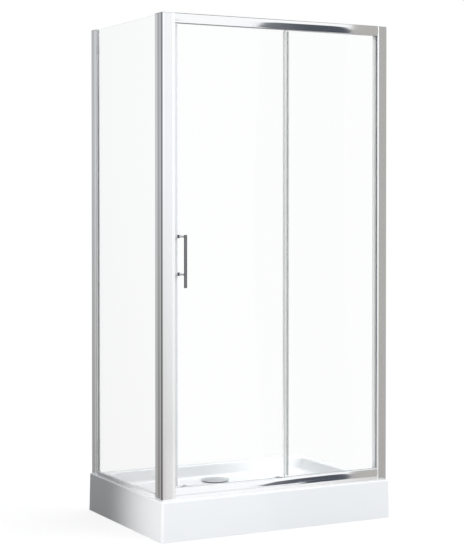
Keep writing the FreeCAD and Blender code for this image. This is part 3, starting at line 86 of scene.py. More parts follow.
def feed(tree, socket, value):
    # links an output to the socket, or sets a number or an RGB colour on it
    if isinstance(value, bpy.types.NodeSocket):
        tree.links.new(value, socket)
    else:
        socket.default_value = (*value, 1) if isinstance(value, tuple) else value


def mathNode(tree, operation, *values):
    node = tree.nodes.new("ShaderNodeMath")
    node.operation = operation
    for socket, value in zip(node.inputs, values):
        feed(tree, socket, value)
    return node.outputs[0]


def colorMix(tree, share, first, second):
    # first and second are sockets or colours, mixed by the share
    mix = tree.nodes.new("ShaderNodeMix")
    mix.data_type = "RGBA"
    for label, value in (("Factor", share), ("A", first), ("B", second)):
        feed(tree, mix.inputs[label], value)
    return mix.outputs["Result"]


def noiseNode(tree, place, scale, detail):
    texture = tree.nodes.new("ShaderNodeTexNoise")
    for label, value in (("Vector", place), ("Scale", scale), ("Detail", detail)):
        feed(tree, texture.inputs[label], value)
    return texture.outputs["Fac"]


def startGroup(name, places, numbers):
    # a finish that takes places, two colours and numbers
    group = bpy.data.node_groups.new(name, "ShaderNodeTree")
    sockets = [(label, "INPUT", "NodeSocketVector") for label in places]
    sockets += [(label, "INPUT", "NodeSocketColor") for label in ("Color", "Shade")]
    sockets += [(label, "INPUT", "NodeSocketFloat") for label in (*numbers, "Roughness", "Swing")]
    sockets += [("Color", "OUTPUT", "NodeSocketColor")]
    sockets += [(label, "OUTPUT", "NodeSocketFloat") for label in ("Roughness", "Height")]
    for label, way, kind in sockets:
        group.interface.new_socket(label, in_out=way, socket_type=kind)
    return group, group.nodes.new("NodeGroupInput").outputs


def endGroup(group, given, broad, fine):
    # the colour follows the broad texture, the height the fine one, and the roughness both
    both = mathNode(group, "ADD", broad, fine)
    centred = mathNode(group, "SUBTRACT", both, 1.0)
    swung = mathNode(group, "MULTIPLY", centred, given["Swing"])
    results = {
        "Color": colorMix(group, broad, given["Color"], given["Shade"]),
        "Roughness": mathNode(group, "ADD", given["Roughness"], swung),
        "Height": fine,
    }
    out = group.nodes.new("NodeGroupOutput")
    for label, value in results.items():
        group.links.new(value, out.inputs[label])
    return group


mouldedSizes = {"cloudDetail": 4, "grainDetail": 2, "depth": 0.0002}
drawnSizes = {"lineScale": 1.0, "lineDetail": 3, "markScale": 9.0, "markDetail": 5, "depth": 0.0001}


def buildMouldedGroup(s):
    # soft colour change, roughness change and a fine surface, for moulded and cast finishes
    group, given = startGroup("mouldedFinish", ["Vector"], ["Cloud Scale", "Grain Scale"])
    cloud = noiseNode(group, given["Vector"], given["Cloud Scale"], s["cloudDetail"])
    grain = noiseNode(group, given["Vector"], given["Grain Scale"], s["grainDetail"])
    return endGroup(group, given, cloud, grain)


def buildDrawnGroup(s):
    # the fine lengthwise lines of an extruded or drawn metal, with faint handling marks
    group, given = startGroup("drawnMetal", ["Vector", "Stretched"], [])
    lines = noiseNode(group, given["Stretched"], s["lineScale"], s["lineDetail"])
    marks = noiseNode(group, given["Vector"], s["markScale"], s["markDetail"])
    return endGroup(group, given, marks, lines)


mouldedGroup = buildMouldedGroup(mouldedSizes)
drawnGroup = buildDrawnGroup(drawnSizes)


def startMaterial(name):
    material = bpy.data.materials.new(name)
    material.use_nodes = True
    tree = material.node_tree
    return material, tree, tree.nodes["Principled BSDF"]


def addRelief(tree, shader, height, strength, depth):
    relief = tree.nodes.new("ShaderNodeBump")
    relief.inputs["Strength"].default_value = strength
    relief.inputs["Distance"].default_value = depth
    tree.links.new(height, relief.inputs["Height"])
    tree.links.new(relief.outputs["Normal"], shader.inputs["Normal"])


def rangeNode(tree, source, old, new=(0.0, 1.0), smooth=False):
    # carries the old range over to the new one; a smooth step falls where the old range runs down
    spread = tree.nodes.new("ShaderNodeMapRange")
    if smooth:
        spread.interpolation_type = "SMOOTHSTEP"
    for label, value in zip(("From Min", "From Max", "To Min", "To Max"), (*old, *new)):
        spread.inputs[label].default_value = value
    tree.links.new(source, spread.inputs["Value"])
    return spread.outputs["Result"]


def fillMaterial(material, tree, shader, group, values, bump, depth, stretch=None):
    place = tree.nodes.new("ShaderNodeTexCoord").outputs["Object"]
    look = tree.nodes.new("ShaderNodeGroup")
    look.node_tree = group
    tree.links.new(place, look.inputs["Vector"])
    if stretch is not None:
        mapping = tree.nodes.new("ShaderNodeMapping")
        mapping.inputs["Scale"].default_value = stretch
        tree.links.new(place, mapping.inputs["Vector"])
        tree.links.new(mapping.outputs["Vector"], look.inputs["Stretched"])
    for name, value in values.items():
        look.inputs[name].default_value = value
    tree.links.new(look.outputs["Color"], shader.inputs["Base Color"])
    tree.links.new(look.outputs["Roughness"], shader.inputs["Roughness"])
    addRelief(tree, shader, look.outputs["Height"], bump, depth)
    return material


def moulded(name, color, shade, roughness, swing, bump, cloud=6.0, grain=900.0, sockets=()):
    # sockets are more of the shader's own, each with its value
    material, tree, shader = startMaterial(name)
    for socket, value in sockets:
        shader.inputs[socket].default_value = value
    values = {
        "Color": (*color, 1),
        "Shade": (*shade, 1),
        "Cloud Scale": cloud,
        "Grain Scale": grain,
        "Roughness": roughness,
        "Swing": swing,
    }
    return fillMaterial(material, tree, shader, mouldedGroup, values, bump, mouldedSizes["depth"])


def drawn(name, color, shade, roughness, stretch, swing, bump=0.05):
    material, tree, shader = startMaterial(name)
    shader.inputs["Metallic"].default_value = 1.0
    values = {"Color": (*color, 1), "Shade": (*shade, 1), "Roughness": roughness, "Swing": swing}
    depth = drawnSizes["depth"]
    return fillMaterial(material, tree, shader, drawnGroup, values, bump, depth, stretch)


glassSizes = {"glare": 0.3, "ior": 1.5, "filmScale": 3.0, "filmDetail": 6, "film": (0.35, 0.8)}


def clearGlass(name, tint, roughness, clear, s):
    # low-glare glass with a faint uneven film
    material, tree, shader = startMaterial(name)
    shader.inputs["Specular Tint"].default_value = (s["glare"], s["glare"], s["glare"], 1)
    shader.inputs["Base Color"].default_value = (*tint, 1)
    shader.inputs["IOR"].default_value = s["ior"]
    shader.inputs["Transmission Weight"].default_value = clear
    place = tree.nodes.new("ShaderNodeTexCoord").outputs["Object"]
    film = noiseNode(tree, place, s["filmScale"], s["filmDetail"])
    rough = rangeNode(tree, film, s["film"], roughness)
    tree.links.new(rough, shader.inputs["Roughness"])
    return material


# how the drawn lines are stretched: along the uprights, along the rails, or in no direction
upright = (700.0, 700.0, 3.0)
level = (3.0, 700.0, 700.0)
turned = (90.0, 90.0, 90.0)
rolled = (220.0, 220.0, 220.0)
pressed = (200.0, 200.0, 200.0)
dipped = (60.0, 60.0, 60.0)
brightColors = ((0.90, 0.905, 0.915), (0.86, 0.865, 0.875))
# the scales of a vinyl's clouds and grain
vinyl = (12.0, 500.0)

# drawn: name, colour, shaded colour, roughness, stretch, roughness swing, bump
# moulded: name, colour, shaded colour, roughness, its swing, bump, cloud and grain scales, sockets
acrylic = moulded(
    "sanitaryAcrylic", (0.87, 0.88, 0.89), (0.84, 0.85, 0.862), 0.16, 0.05, 0.04, 3.0, 260.0,
    (("Coat Weight", 0.5), ("Coat Roughness", 0.04)),
)
brightUpright = drawn("brightAluminiumUpright", *brightColors, 0.08, upright, 0.03)
brightLevel = drawn("brightAluminiumLevel", *brightColors, 0.035, level, 0.02, 0.02)
satinLevel = drawn(
    "satinAluminiumLevel", (0.95, 0.955, 0.96), (0.92, 0.925, 0.93), 0.16, level, 0.04
)
# partly painted light: mill aluminium for the jamb's faces behind the glass, rougher than the
# front, and paler to stand in for light that the glass keeps off them
millPaintedLight = drawn(
    "millAluminiumPaintedLight", (0.97, 0.975, 0.98), (0.94, 0.945, 0.95), 0.32, upright, 0.05
)
# painted highlight: the strike has a paler copy of the upright aluminium, so it reads brighter than
# the frame beside it
strikePaintedHighlight = drawn("strikePaintedHighlight", (0.98, 0.985, 0.99), (0.95, 0.955, 0.96), 0.08, upright, 0.03)
chrome = drawn("handleChrome", (0.70, 0.71, 0.72), (0.62, 0.63, 0.65), 0.10, upright, 0.03, 0.02)
# painted shade: the handle bar's chrome is darkened to stand in for the dark reflections it shows
paintedShadeChrome = drawn(
    "barPaintedShadeChrome", (0.25, 0.255, 0.265), (0.19, 0.195, 0.205), 0.16, upright, 0.04, 0.02
)
# painted shade: a dark steel for the crosses that stand in for the shade inside the screw heads'
# recesses
recessPaintedShade = drawn(
    "recessPaintedShade", (0.16, 0.16, 0.17), (0.10, 0.10, 0.11), 0.42, pressed, 0.10, 0.2
)
wasteChrome = drawn(
    "wasteChrome", (0.78, 0.79, 0.80), (0.70, 0.71, 0.73), 0.12, turned, 0.05, 0.03
)
steel = drawn("stainlessSteel", (0.74, 0.74, 0.75), (0.64, 0.64, 0.65), 0.28, rolled, 0.10, 0.1)
zincSteel = drawn("zincSteel", (0.62, 0.64, 0.66), (0.50, 0.52, 0.54), 0.38, dipped, 0.16, 0.15)
capGrey = moulded("capPlastic", (0.56, 0.57, 0.58), (0.48, 0.49, 0.50), 0.38, 0.10, 0.2)
capPale = moulded("palePlastic", (0.82, 0.83, 0.835), (0.78, 0.79, 0.795), 0.30, 0.08, 0.15)
nylon = moulded("wheelNylon", (0.84, 0.84, 0.825), (0.78, 0.78, 0.76), 0.42, 0.10, 0.2)
trapPlastic = moulded("trapPlastic", (0.80, 0.80, 0.78), (0.72, 0.72, 0.70), 0.45, 0.10, 0.2)
cupPlastic = moulded("cupPlastic", (0.20, 0.21, 0.22), (0.13, 0.13, 0.14), 0.50, 0.10, 0.3)
blackRubber = moulded("blackRubber", (0.035, 0.035, 0.037), (0.06, 0.06, 0.06), 0.62, 0.12, 0.4)
darkWasher = moulded("washerRubber", (0.05, 0.05, 0.055), (0.09, 0.09, 0.09), 0.45, 0.12, 0.3)
clearSeal = moulded(
    "milkySealVinyl", (0.95, 0.96, 0.955), (0.90, 0.91, 0.905), 0.25, 0.10, 0.1, *vinyl,
    (("Alpha", 0.42),),
)
trailSeal = moulded(
    "clearSealVinyl", (0.97, 0.98, 0.975), (0.93, 0.94, 0.935), 0.2, 0.10, 0.1, *vinyl,
    (("Alpha", 0.36),),
)
naturalNylon = moulded(
    "naturalNylon", (0.95, 0.955, 0.94), (0.90, 0.905, 0.89), 0.3, 0.10, 0.1, *vinyl,
    (("Transmission Weight", 0.8), ("IOR", 1.12)),
)
stripVinyl = moulded(
    "stripVinyl", (0.87, 0.88, 0.875), (0.83, 0.84, 0.835), 0.25, 0.10, 0.15, *vinyl
)
greySeal = moulded(
    "greySealVinyl", (0.74, 0.755, 0.76), (0.68, 0.695, 0.70), 0.34, 0.10, 0.2, *vinyl
)
gasketVinyl = moulded(
    "gasketVinyl", (0.76, 0.775, 0.775), (0.70, 0.715, 0.715), 0.40, 0.10, 0.2, *vinyl
)
magnetRubber = moulded("magnetRubber", (0.12, 0.12, 0.125), (0.18, 0.18, 0.18), 0.55, 0.12, 0.3)
paneGlass = clearGlass("paneGlass", (0.982, 0.991, 0.986), (0.0, 0.02), 1.0, glassSizes)
edgeGlass = clearGlass("glassEdge", (0.93, 0.972, 0.95), (0.1, 0.3), 0.6, glassSizes)

chipSizes = {
    "flakes": 380,
    "dark": (0.34, 0.23, 0.12, 1),
    "light": (0.62, 0.48, 0.30, 1),
    "roughness": 0.85,
    "bump": 0.5,
    "depth": 0.0004,
}


def buildChipboard(s):
    material, tree, shader = startMaterial("chipboard")
    place = tree.nodes.new("ShaderNodeTexCoord").outputs["Object"]
    flakes = tree.nodes.new("ShaderNodeTexVoronoi")
    flakes.inputs["Scale"].default_value = s["flakes"]
    tree.links.new(place, flakes.inputs["Vector"])
    ramp = tree.nodes.new("ShaderNodeValToRGB")
    for stop, tone in zip(ramp.color_ramp.elements, ("dark", "light")):
        stop.color = s[tone]
    tree.links.new(flakes.outputs["Color"], ramp.inputs["Fac"])
    tree.links.new(ramp.outputs["Color"], shader.inputs["Base Color"])
    shader.inputs["Roughness"].default_value = s["roughness"]
    addRelief(tree, shader, flakes.outputs["Distance"], s["bump"], s["depth"])
    return material


chipboard = buildChipboard(chipSizes)
print("materials made")


sameCorner = 0.000002  # corners closer than this are one
flatTurn = math.radians(0.5)  # faces that turn less than this are one


def axisOf(index):
    return Vector([1.0 if i == index else 0.0 for i in range(3)])


def joinedCorners(node):
    # the CAD node's triangles with shared corners
    bm = bmesh.new()
    bm.from_mesh(frame["nodes"][node].data)
    bmesh.ops.remove_doubles(bm, verts=bm.verts, dist=sameCorner)
    return bm


def meshFrom(node, cuts):
    # the node with its flat areas as whole faces, which planes across an axis then cut
    bm = joinedCorners(node)
    bmesh.ops.dissolve_limit(
        bm, angle_limit=flatTurn, verts=bm.verts, edges=bm.edges, delimit={"NORMAL"}
    )
    for index, place in cuts:
        axis = axisOf(index)
        every = bm.verts[:] + bm.edges[:] + bm.faces[:]
        bmesh.ops.bisect_plane(bm, geom=every, plane_co=axis * place, plane_no=axis)
    mesh = bpy.data.meshes.new(node + "Shape")
    bm.to_mesh(mesh)
    bm.free()
    return mesh


def evaluated(piece):
    # the piece's mesh with its live modifiers applied
    bpy.context.view_layer.update()
    depsgraph = bpy.context.evaluated_depsgraph_get()
    made = bpy.data.meshes.new_from_object(piece.evaluated_get(depsgraph))
    piece.modifiers.clear()
    piece.data = made
    return made


def smoothed(mesh, angle):
    mesh.shade_smooth()
    mesh.set_sharp_from_angle(angle=math.radians(angle))


def settle(piece, material, angle):
    # rounded edges first, then normals that keep the flat faces flat
    scene.collection.objects.link(piece)
    smoothed(evaluated(piece), angle)
    flatten = piece.modifiers.new("flatFaces", "WEIGHTED_NORMAL")
    flatten.mode = "FACE_AREA"
    flatten.keep_sharp = True
    flatten.weight = 100
    made = evaluated(piece)
    made.materials.clear()
    made.materials.append(material)


def dressed(node, material, bevel, angle=35, smooth=32, cuts=()):
    # edges sharper than angle are rounded, and ones under smooth are shaded across
    piece = bpy.data.objects.new(node + "Piece", meshFrom(node, cuts))
    if bevel:
        rounding = piece.modifiers.new("edges", "BEVEL")
        rounding.width = bevel
        rounding.segments = 2
        rounding.limit_method = "ANGLE"
        rounding.angle_limit = math.radians(angle)
        rounding.use_clamp_overlap = True
        rounding.miter_outer = "MITER_ARC"
    settle(piece, material, smooth)
    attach(piece, bodyOf[node])
    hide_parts(node)
    return piece


paneSizes = {"bevel": 0.0009, "angle": 60, "smooth": 20, "flat": 0.9}


def glassPane(node, s):
    # toughened pane with ground edges, which look greener than its faces
    piece = dressed(node, paneGlass, s["bevel"], s["angle"], s["smooth"])
    piece.data.materials.append(edgeGlass)
    low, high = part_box(node)
    size = high - low
    thin = min(range(3), key=lambda i: size[i])
    for face in piece.data.polygons:
        if abs(face.normal[thin]) < s["flat"]:
            face.material_index = 1


# each node's finish and the rounding of its edges
dressPlan = {
    "tray_shell": (acrylic, 0.0),
    "strike_profile": (strikePaintedHighlight, 0.0004),
    "right_jamb": (brightUpright, 0.0004),
    "right_wall_channel": (brightUpright, 0.0004),
    "side_post_channel": (brightUpright, 0.0004),
    "side_jamb": (brightUpright, 0.0004),
    "side_wall_channel": (brightUpright, 0.0004),
    "side_bottom_strip": (stripVinyl, 0.0003),
    "post_cap": (capGrey, 0.0005),
    "channel_caps": (capGrey, 0.0004),
    "fixed_edge_seal": (clearSeal, 0.0003),
    "door_trail_seal": (trailSeal, 0.0002),
    "door_lead_seal": (greySeal, 0.0003),
    "handle_bar": (paintedShadeChrome, 0.0003),
    "handle_posts": (chrome, 0.0003),
    "handle_washers": (darkWasher, 0.0004),
    "handle_inner_caps": (chrome, 0.0004),
    "waste_cover": (wasteChrome, 0.0004),
    "waste_flange": (wasteChrome, 0.0003),
    "tray_frame": (zincSteel, 0.0006),
    "lock_nuts": (zincSteel, 0.0005),
    "base_board": (chipboard, 0.0006),
    "trap_body": (trapPlastic, 0.0006),
    "waste_cup": (cupPlastic, 0.0004),
    "lower_carriers": (naturalNylon, 0.0003),
    "screw_caps": (capPale, 0.0003),
}
for node, (material, bevel) in dressPlan.items():
    dressed(node, material, bevel)
for node in ("side_glass", "fixed_glass", "door_glass"):
    glassPane(node, paneSizes)

frontFacing = 0.5  # how far towards the front the polished faces of a rail look
sideFacing = 0.95  # how squarely the leaning faces of an upright look their way
railShine = {
    # how the fronts of the rails are polished: heights in metres, leans in degrees upwards
    "sill_rail": {
        "edges": 0.0004,
        "yaw": 0.19,
        "bandTop": 0.1635,
        "bandLean": 20.0,
        "grooveTop": 0.1678,
        "groove": ((-0.44, -24.7), (-0.055, -24.7), (0.25, 12.8), (0.34, 9.0), (0.47, 9.0)),
        "crown": (
            (-0.44, 25.0), (-0.055, 25.0), (0.0, 15.0), (0.1, 9.0),
            (0.25, 5.5), (0.34, 4.5), (0.47, 4.5),
        ),
        "rim": (0.1916, -28.8),
    },
    "header_rail": {
        "edges": 0.0004,
        "crown": ((-0.44, 0.0), (0.47, 0.0)),
        "rim": (1.9480, -37.5),
        "foot": (1.9142, -37.5),
    },
}


def tiltAt(tilts, x):
    # the lean at x, between the given ones
    for (left, first), (right, second) in zip(tilts, tilts[1:]):
        if x <= right:
            return first + (second - first) * max(x - left, 0) / (right - left)
    return tilts[-1][1]


def polishedNormal(s, normal, x, z):
    # the shading direction of a rail's front at x, on a face at height z
    for part, side in (("rim", 1), ("foot", -1)):
        if part in s and (z - s[part][0]) * side > 0:
            lean = math.radians(s[part][1])
            return Vector((0, -math.cos(lean), math.sin(lean)))
    if z < s.get("bandTop", 0):
        lean = s["bandLean"]
    elif z < s.get("grooveTop", 0):
        lean = tiltAt(s["groove"], x)
    else:
        lean = tiltAt(s["crown"], x)
    normal.rotate(Matrix.Rotation(-math.radians(lean), 3, "X"))
    normal.rotate(Matrix.Rotation(math.radians(s.get("yaw", 0.0)), 3, "Z"))
    return normal


def polishedRail(node, s):
    # a rail with a slight twist to its polish and, on the sill, a satin band under a groove
    cuts = [(0, x) for x, lean in s["crown"][1:-1]]
    cuts += [(2, s[part][0]) for part in ("rim", "foot") if part in s]
    mesh = dressed(node, brightLevel, s["edges"], cuts=cuts).data
    mesh.materials.append(satinLevel)
    normals = [Vector(item.vector) for item in mesh.corner_normals]
    for face in mesh.polygons:
        if face.normal.y > -frontFacing:
            continue
        if face.center.z < s.get("bandTop", 0):
            face.material_index = 1
        for index in face.loop_indices:
            x = mesh.vertices[mesh.loops[index].vertex_index].co.x
            normals[index] = polishedNormal(s, normals[index], x, face.center.z)
    mesh.normals_split_custom_set(normals)


for node, sizes in railShine.items():
    polishedRail(node, sizes)


postShine = {
    "edges": 0.0005,
    # the strips of the post's free face, from the front: where each ends, and its lean in degrees
    "strips": ((-0.308, 15.0), (-0.2995, 0.0), (-0.27, -2.5)),
}
jambInside = {"front": -0.3195, "lean": -28.0}


def leanFaces(piece, leanOf):
    # turns the shading of some faces about Z, as fluting does
    mesh = piece.data
    normals = [Vector(item.vector) for item in mesh.corner_normals]
    for face in mesh.polygons:
        turn = Matrix.Rotation(math.radians(leanOf(face)), 3, "Z")
        for index in face.loop_indices:
            normals[index].rotate(turn)
    mesh.normals_split_custom_set(normals)


def flutedPost(s):
    # the free face of the post is fluted in three strips
    cuts = [(1, end) for end, lean in s["strips"][:-1]]
    piece = dressed("corner_post", brightUpright, s["edges"], cuts=cuts)

    def stripLean(face):
        if face.normal.x > -sideFacing:
            return 0.0
        return next(lean for end, lean in s["strips"] if face.center.y < end)

    leanFaces(piece, stripLean)


def paintedLightInside(piece, s):
    # behind its front face the jamb is plain mill aluminium, rougher than its front and paler in
    # colour; the paler colour is painted light on the faces that the glass keeps in shade
    piece.data.materials.append(millPaintedLight)
    for face in piece.data.polygons:
        if face.center.y > s["front"]:
            face.material_index = 1

    def innerLean(face):
        return s["lean"] if face.material_index and face.normal.y < -sideFacing else 0.0

    leanFaces(piece, innerLean)


flutedPost(postShine)
paintedLightInside(bpy.data.objects["right_jambPiece"], jambInside)
print("frame pieces dressed")

# small pieces whose solids stay as they are
plainPlan = {
    "waste_seal": blackRubber,
    "strike_magnet": magnetRubber,
    "frame_screws": steel,
    "jamb_screws": steel,
    "side_gaskets": gasketVinyl,
    "fixed_gaskets": gasketVinyl,
    "door_stops": blackRubber,
    "roller_hubs": steel,
    "roller_bolts": steel,
    "roller_bushes": nylon,
}
for number in (1, 2):
    for place in ("upper", "lower"):
        plainPlan["%s_wheel_%d" % (place, number)] = nylon
        plainPlan["%s_bearing_%d" % (place, number)] = steel
    plainPlan["release_slider_%d" % number] = naturalNylon
for number in range(1, 6):
    plainPlan["levelling_foot_%d" % number] = zincSteel
for node, material in plainPlan.items():
    piece = frame["nodes"][node]
    for slot in piece.material_slots:
        slot.material = material
print("small pieces finished")


def startTree(name, numbers):
    # a geometry tree with named inputs; the keys are the inputs' identifiers
    tree = bpy.data.node_groups.new(name, "GeometryNodeTree")
    tree.interface.new_socket("Geometry", in_out="INPUT", socket_type="NodeSocketGeometry")
    keys = {}
    kinds = [(label, "NodeSocketFloat") for label in numbers] + [("Material", "NodeSocketMaterial")]
    for label, kind in kinds:
        socket = tree.interface.new_socket(label, in_out="INPUT", socket_type=kind)
        keys[label] = socket.identifier
    tree.interface.new_socket("Geometry", in_out="OUTPUT", socket_type="NodeSocketGeometry")
    return tree, tree.nodes.new("NodeGroupInput"), keys


def placedOnPoints(tree, source, shape, turn=None):
    # the shape on each point, then as real geometry with its material
    spread = tree.nodes.new("GeometryNodeInstanceOnPoints")
    tree.links.new(source.outputs["Geometry"], spread.inputs["Points"])
    tree.links.new(shape, spread.inputs["Instance"])
    if turn is not None:
        tree.links.new(turn, spread.inputs["Rotation"])
    whole = tree.nodes.new("GeometryNodeRealizeInstances")
    tree.links.new(spread.outputs["Instances"], whole.inputs["Geometry"])
    paint = tree.nodes.new("GeometryNodeSetMaterial")
    tree.links.new(whole.outputs["Geometry"], paint.inputs["Geometry"])
    tree.links.new(source.outputs["Material"], paint.inputs["Material"])
    out = tree.nodes.new("NodeGroupOutput")
    tree.links.new(paint.outputs["Geometry"], out.inputs["Geometry"])


def scaled(tree, geometry, x, y, z):
    size = tree.nodes.new("ShaderNodeCombineXYZ")
    for socket, value in zip(size.inputs, (x, y, z)):
        tree.links.new(value, socket)
    form = tree.nodes.new("GeometryNodeTransform")
    tree.links.new(geometry, form.inputs["Geometry"])
    tree.links.new(size.outputs["Vector"], form.inputs["Scale"])
    return form.outputs["Geometry"]


def grow(name, points, kit, values, material, smooth, facing=None):
    tree, keys = kit
    mesh = bpy.data.meshes.new(name)
    mesh.from_pydata([tuple(point) for point in points], [], [])
    if facing is not None:
        ways = mesh.attributes.new("facing", "FLOAT_VECTOR", "POINT")
        for item, way in zip(ways.data, facing):
            item.vector = way
    piece = bpy.data.objects.new(name, mesh)
    scene.collection.objects.link(piece)
    growing = piece.modifiers.new("growing", "NODES")
    growing.node_group = tree
    for label, value in values.items():
        growing[keys[label]] = value
    growing[keys["Material"]] = material
    made = evaluated(piece)
    bm = bmesh.new()
    bm.from_mesh(made)
    bmesh.ops.remove_doubles(bm, verts=bm.verts, dist=sameCorner / 2)
    bmesh.ops.recalc_face_normals(bm, faces=bm.faces)
    bm.to_mesh(made)
    bm.free()
    smoothed(made, smooth)
    return piece


windingSteps = {"turn": 20, "ring": 6}


def windingTree(s):
    # a round ridge or wire that winds up from each point
    tree, source, keys = startTree("windingTree", ("Radius", "Height", "Turns", "Ridge"))
    path = tree.nodes.new("GeometryNodeCurveSpiral")
    path.inputs["Resolution"].default_value = s["turn"]
    for socket in ("Start Radius", "End Radius"):
        tree.links.new(source.outputs["Radius"], path.inputs[socket])
    tree.links.new(source.outputs["Height"], path.inputs["Height"])
    tree.links.new(source.outputs["Turns"], path.inputs["Rotations"])
    ring = tree.nodes.new("GeometryNodeCurvePrimitiveCircle")
    ring.inputs["Resolution"].default_value = s["ring"]
    tree.links.new(source.outputs["Ridge"], ring.inputs["Radius"])
    ridge = tree.nodes.new("GeometryNodeCurveToMesh")
    ridge.inputs["Fill Caps"].default_value = True
    tree.links.new(path.outputs["Curve"], ridge.inputs["Curve"])
    tree.links.new(ring.outputs["Curve"], ridge.inputs["Profile Curve"])
    placedOnPoints(tree, source, ridge.outputs["Mesh"])
    return tree, keys


def paintedShadeCrossTree():
    # a dark cross of painted shade on each screw head, standing in for the shade in its cross
    # recess, turned to face along the point's own direction
    tree, source, keys = startTree("paintedShadeCrossTree", ("Arm", "Width", "Depth"))
    both = tree.nodes.new("GeometryNodeJoinGeometry")
    for labels in (("Arm", "Width", "Depth"), ("Width", "Arm", "Depth")):
        bar = tree.nodes.new("GeometryNodeMeshCube").outputs["Mesh"]
        shape = scaled(tree, bar, *[source.outputs[label] for label in labels])
        tree.links.new(shape, both.inputs["Geometry"])
    way = tree.nodes.new("GeometryNodeInputNamedAttribute")
    way.data_type = "FLOAT_VECTOR"
    way.inputs["Name"].default_value = "facing"
    turn = tree.nodes.new("FunctionNodeAlignRotationToVector")
    turn.axis = "Z"
    tree.links.new(way.outputs["Attribute"], turn.inputs["Vector"])
    placedOnPoints(tree, source, both.outputs["Geometry"], turn.outputs["Rotation"])
    return tree, keys


threadSizes = {"stud": 0.005, "padTop": 0.008, "pitch": 0.0015, "ridge": 0.00045, "smooth": 60}


def addThreads(kit, s):
    # the thread of each foot's stud, from its pad to the lock nut
    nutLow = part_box("lock_nuts")[0].z
    for number in range(1, 6):
        node = "levelling_foot_%d" % number
        low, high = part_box(node)
        base = s["padTop"] + s["pitch"]
        height = nutLow - base - s["pitch"]
        points = [((low.x + high.x) / 2, (low.y + high.y) / 2, base)]
        turns = height / s["pitch"]
        values = {"Radius": s["stud"], "Height": height, "Turns": turns, "Ridge": s["ridge"]}
        piece = grow("footThread%d" % number, points, kit, values, zincSteel, s["smooth"])
        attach(piece, bodyOf[node])


springSizes = {"radius": 0.00172, "wire": 0.00026, "turns": 5.0, "stroke": 0.0038, "smooth": 60}


def addSprings(kit, s):
    # coils that hang from the carriers and ride with them
    for number in (1, 2):
        node = "release_spring_%d" % number
        low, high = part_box(node)
        middle = (low + high) / 2
        base = (middle.x, middle.y, low.z + s["wire"])
        height = high.z - low.z - 2 * s["wire"]
        values = {"Radius": s["radius"], "Height": height, "Turns": s["turns"], "Ridge": s["wire"]}
        piece = grow("releaseCoil%d" % number, [base], kit, values, steel, s["smooth"])
        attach(piece, bodyOf["lower_carriers"])
        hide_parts(node)
        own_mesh(piece)


def screwHeads(node):
    # where each screw's head ends and which way it faces, from the node's separate solids
    bm = joinedCorners(node)
    left = set(bm.verts)
    heads = []
    for start in bm.verts:
        if start not in left:
            continue
        left.remove(start)
        grown = [start]
        for vertex in grown:
            for edge in vertex.link_edges:
                other = edge.other_vert(vertex)
                if other in left:
                    left.remove(other)
                    grown.append(other)
        low = Vector([min(vertex.co[i] for vertex in grown) for i in range(3)])
        high = Vector([max(vertex.co[i] for vertex in grown) for i in range(3)])
        long = max(range(3), key=lambda i: (high - low)[i])
        middle = (low + high) / 2

        def fromAxis(vertex):
            reach = vertex.co - middle
            return (reach - reach.project(axisOf(long))).length

        side = 1 if max(grown, key=fromAxis).co[long] > middle[long] else -1
        place = middle.copy()
        place[long] = high[long] if side > 0 else low[long]
        heads.append((place, axisOf(long) * side))
    bm.free()
    return heads


# the size of the painted shade crosses on the screw heads
paintedShadeCrossSizes = {"arm": 0.0042, "width": 0.0011, "depth": 0.0005, "smooth": 30}


# puts the painted shade crosses on the screws' heads
def addPaintedShadeCrosses(kit, s):
    values = {"Arm": s["arm"], "Width": s["width"], "Depth": s["depth"]}
    for node in ("frame_screws", "jamb_screws"):
        places, ways = zip(*screwHeads(node))
        piece = grow(node + "PaintedShadeCross", places, kit, values, recessPaintedShade, s["smooth"], ways)
        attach(piece, bodyOf[node])


windings = windingTree(windingSteps)
addThreads(windings, threadSizes)
addSprings(windings, springSizes)
addPaintedShadeCrosses(paintedShadeCrossTree(), paintedShadeCrossSizes)
print("repeated details grown")


studioSizes = {
    "floorHalf": 6.0,
    "floorColor": (0.90, 0.90, 0.90),
    "floorBounce": (0.24, 0.24, 0.24),  # what the floor gives back to the object
    "floorRoughness": 0.85,
    "floorGlow": 0.82,
    "floorFade": (1.1, 2.6),  # between these distances the floor gives way to the backdrop
    "ambient": (0.50, 0.52, 0.545),
    "ambientLean": 0.46,  # how much dimmer it is at the back left than at the front right
    "ambientFront": 0.6,  # how much the front counts in that, where the right counts 1
    "key": {"place": (3.0, -5.6, 3.2), "aim": (0, -0.2, 0.7), "size": 3.0, "power": 226},
    "top": {"place": (0, 0.2, 4.6), "aim": (0, 0, 0.2), "size": 3.0, "power": 190},
    "corner": {
        "place": (-3.1, -0.75, 0.6),
        "aim": (-0.5, -0.44, 0.1),
        "size": 0.1,
        "power": 235,
        "cone": 24,
    },
}
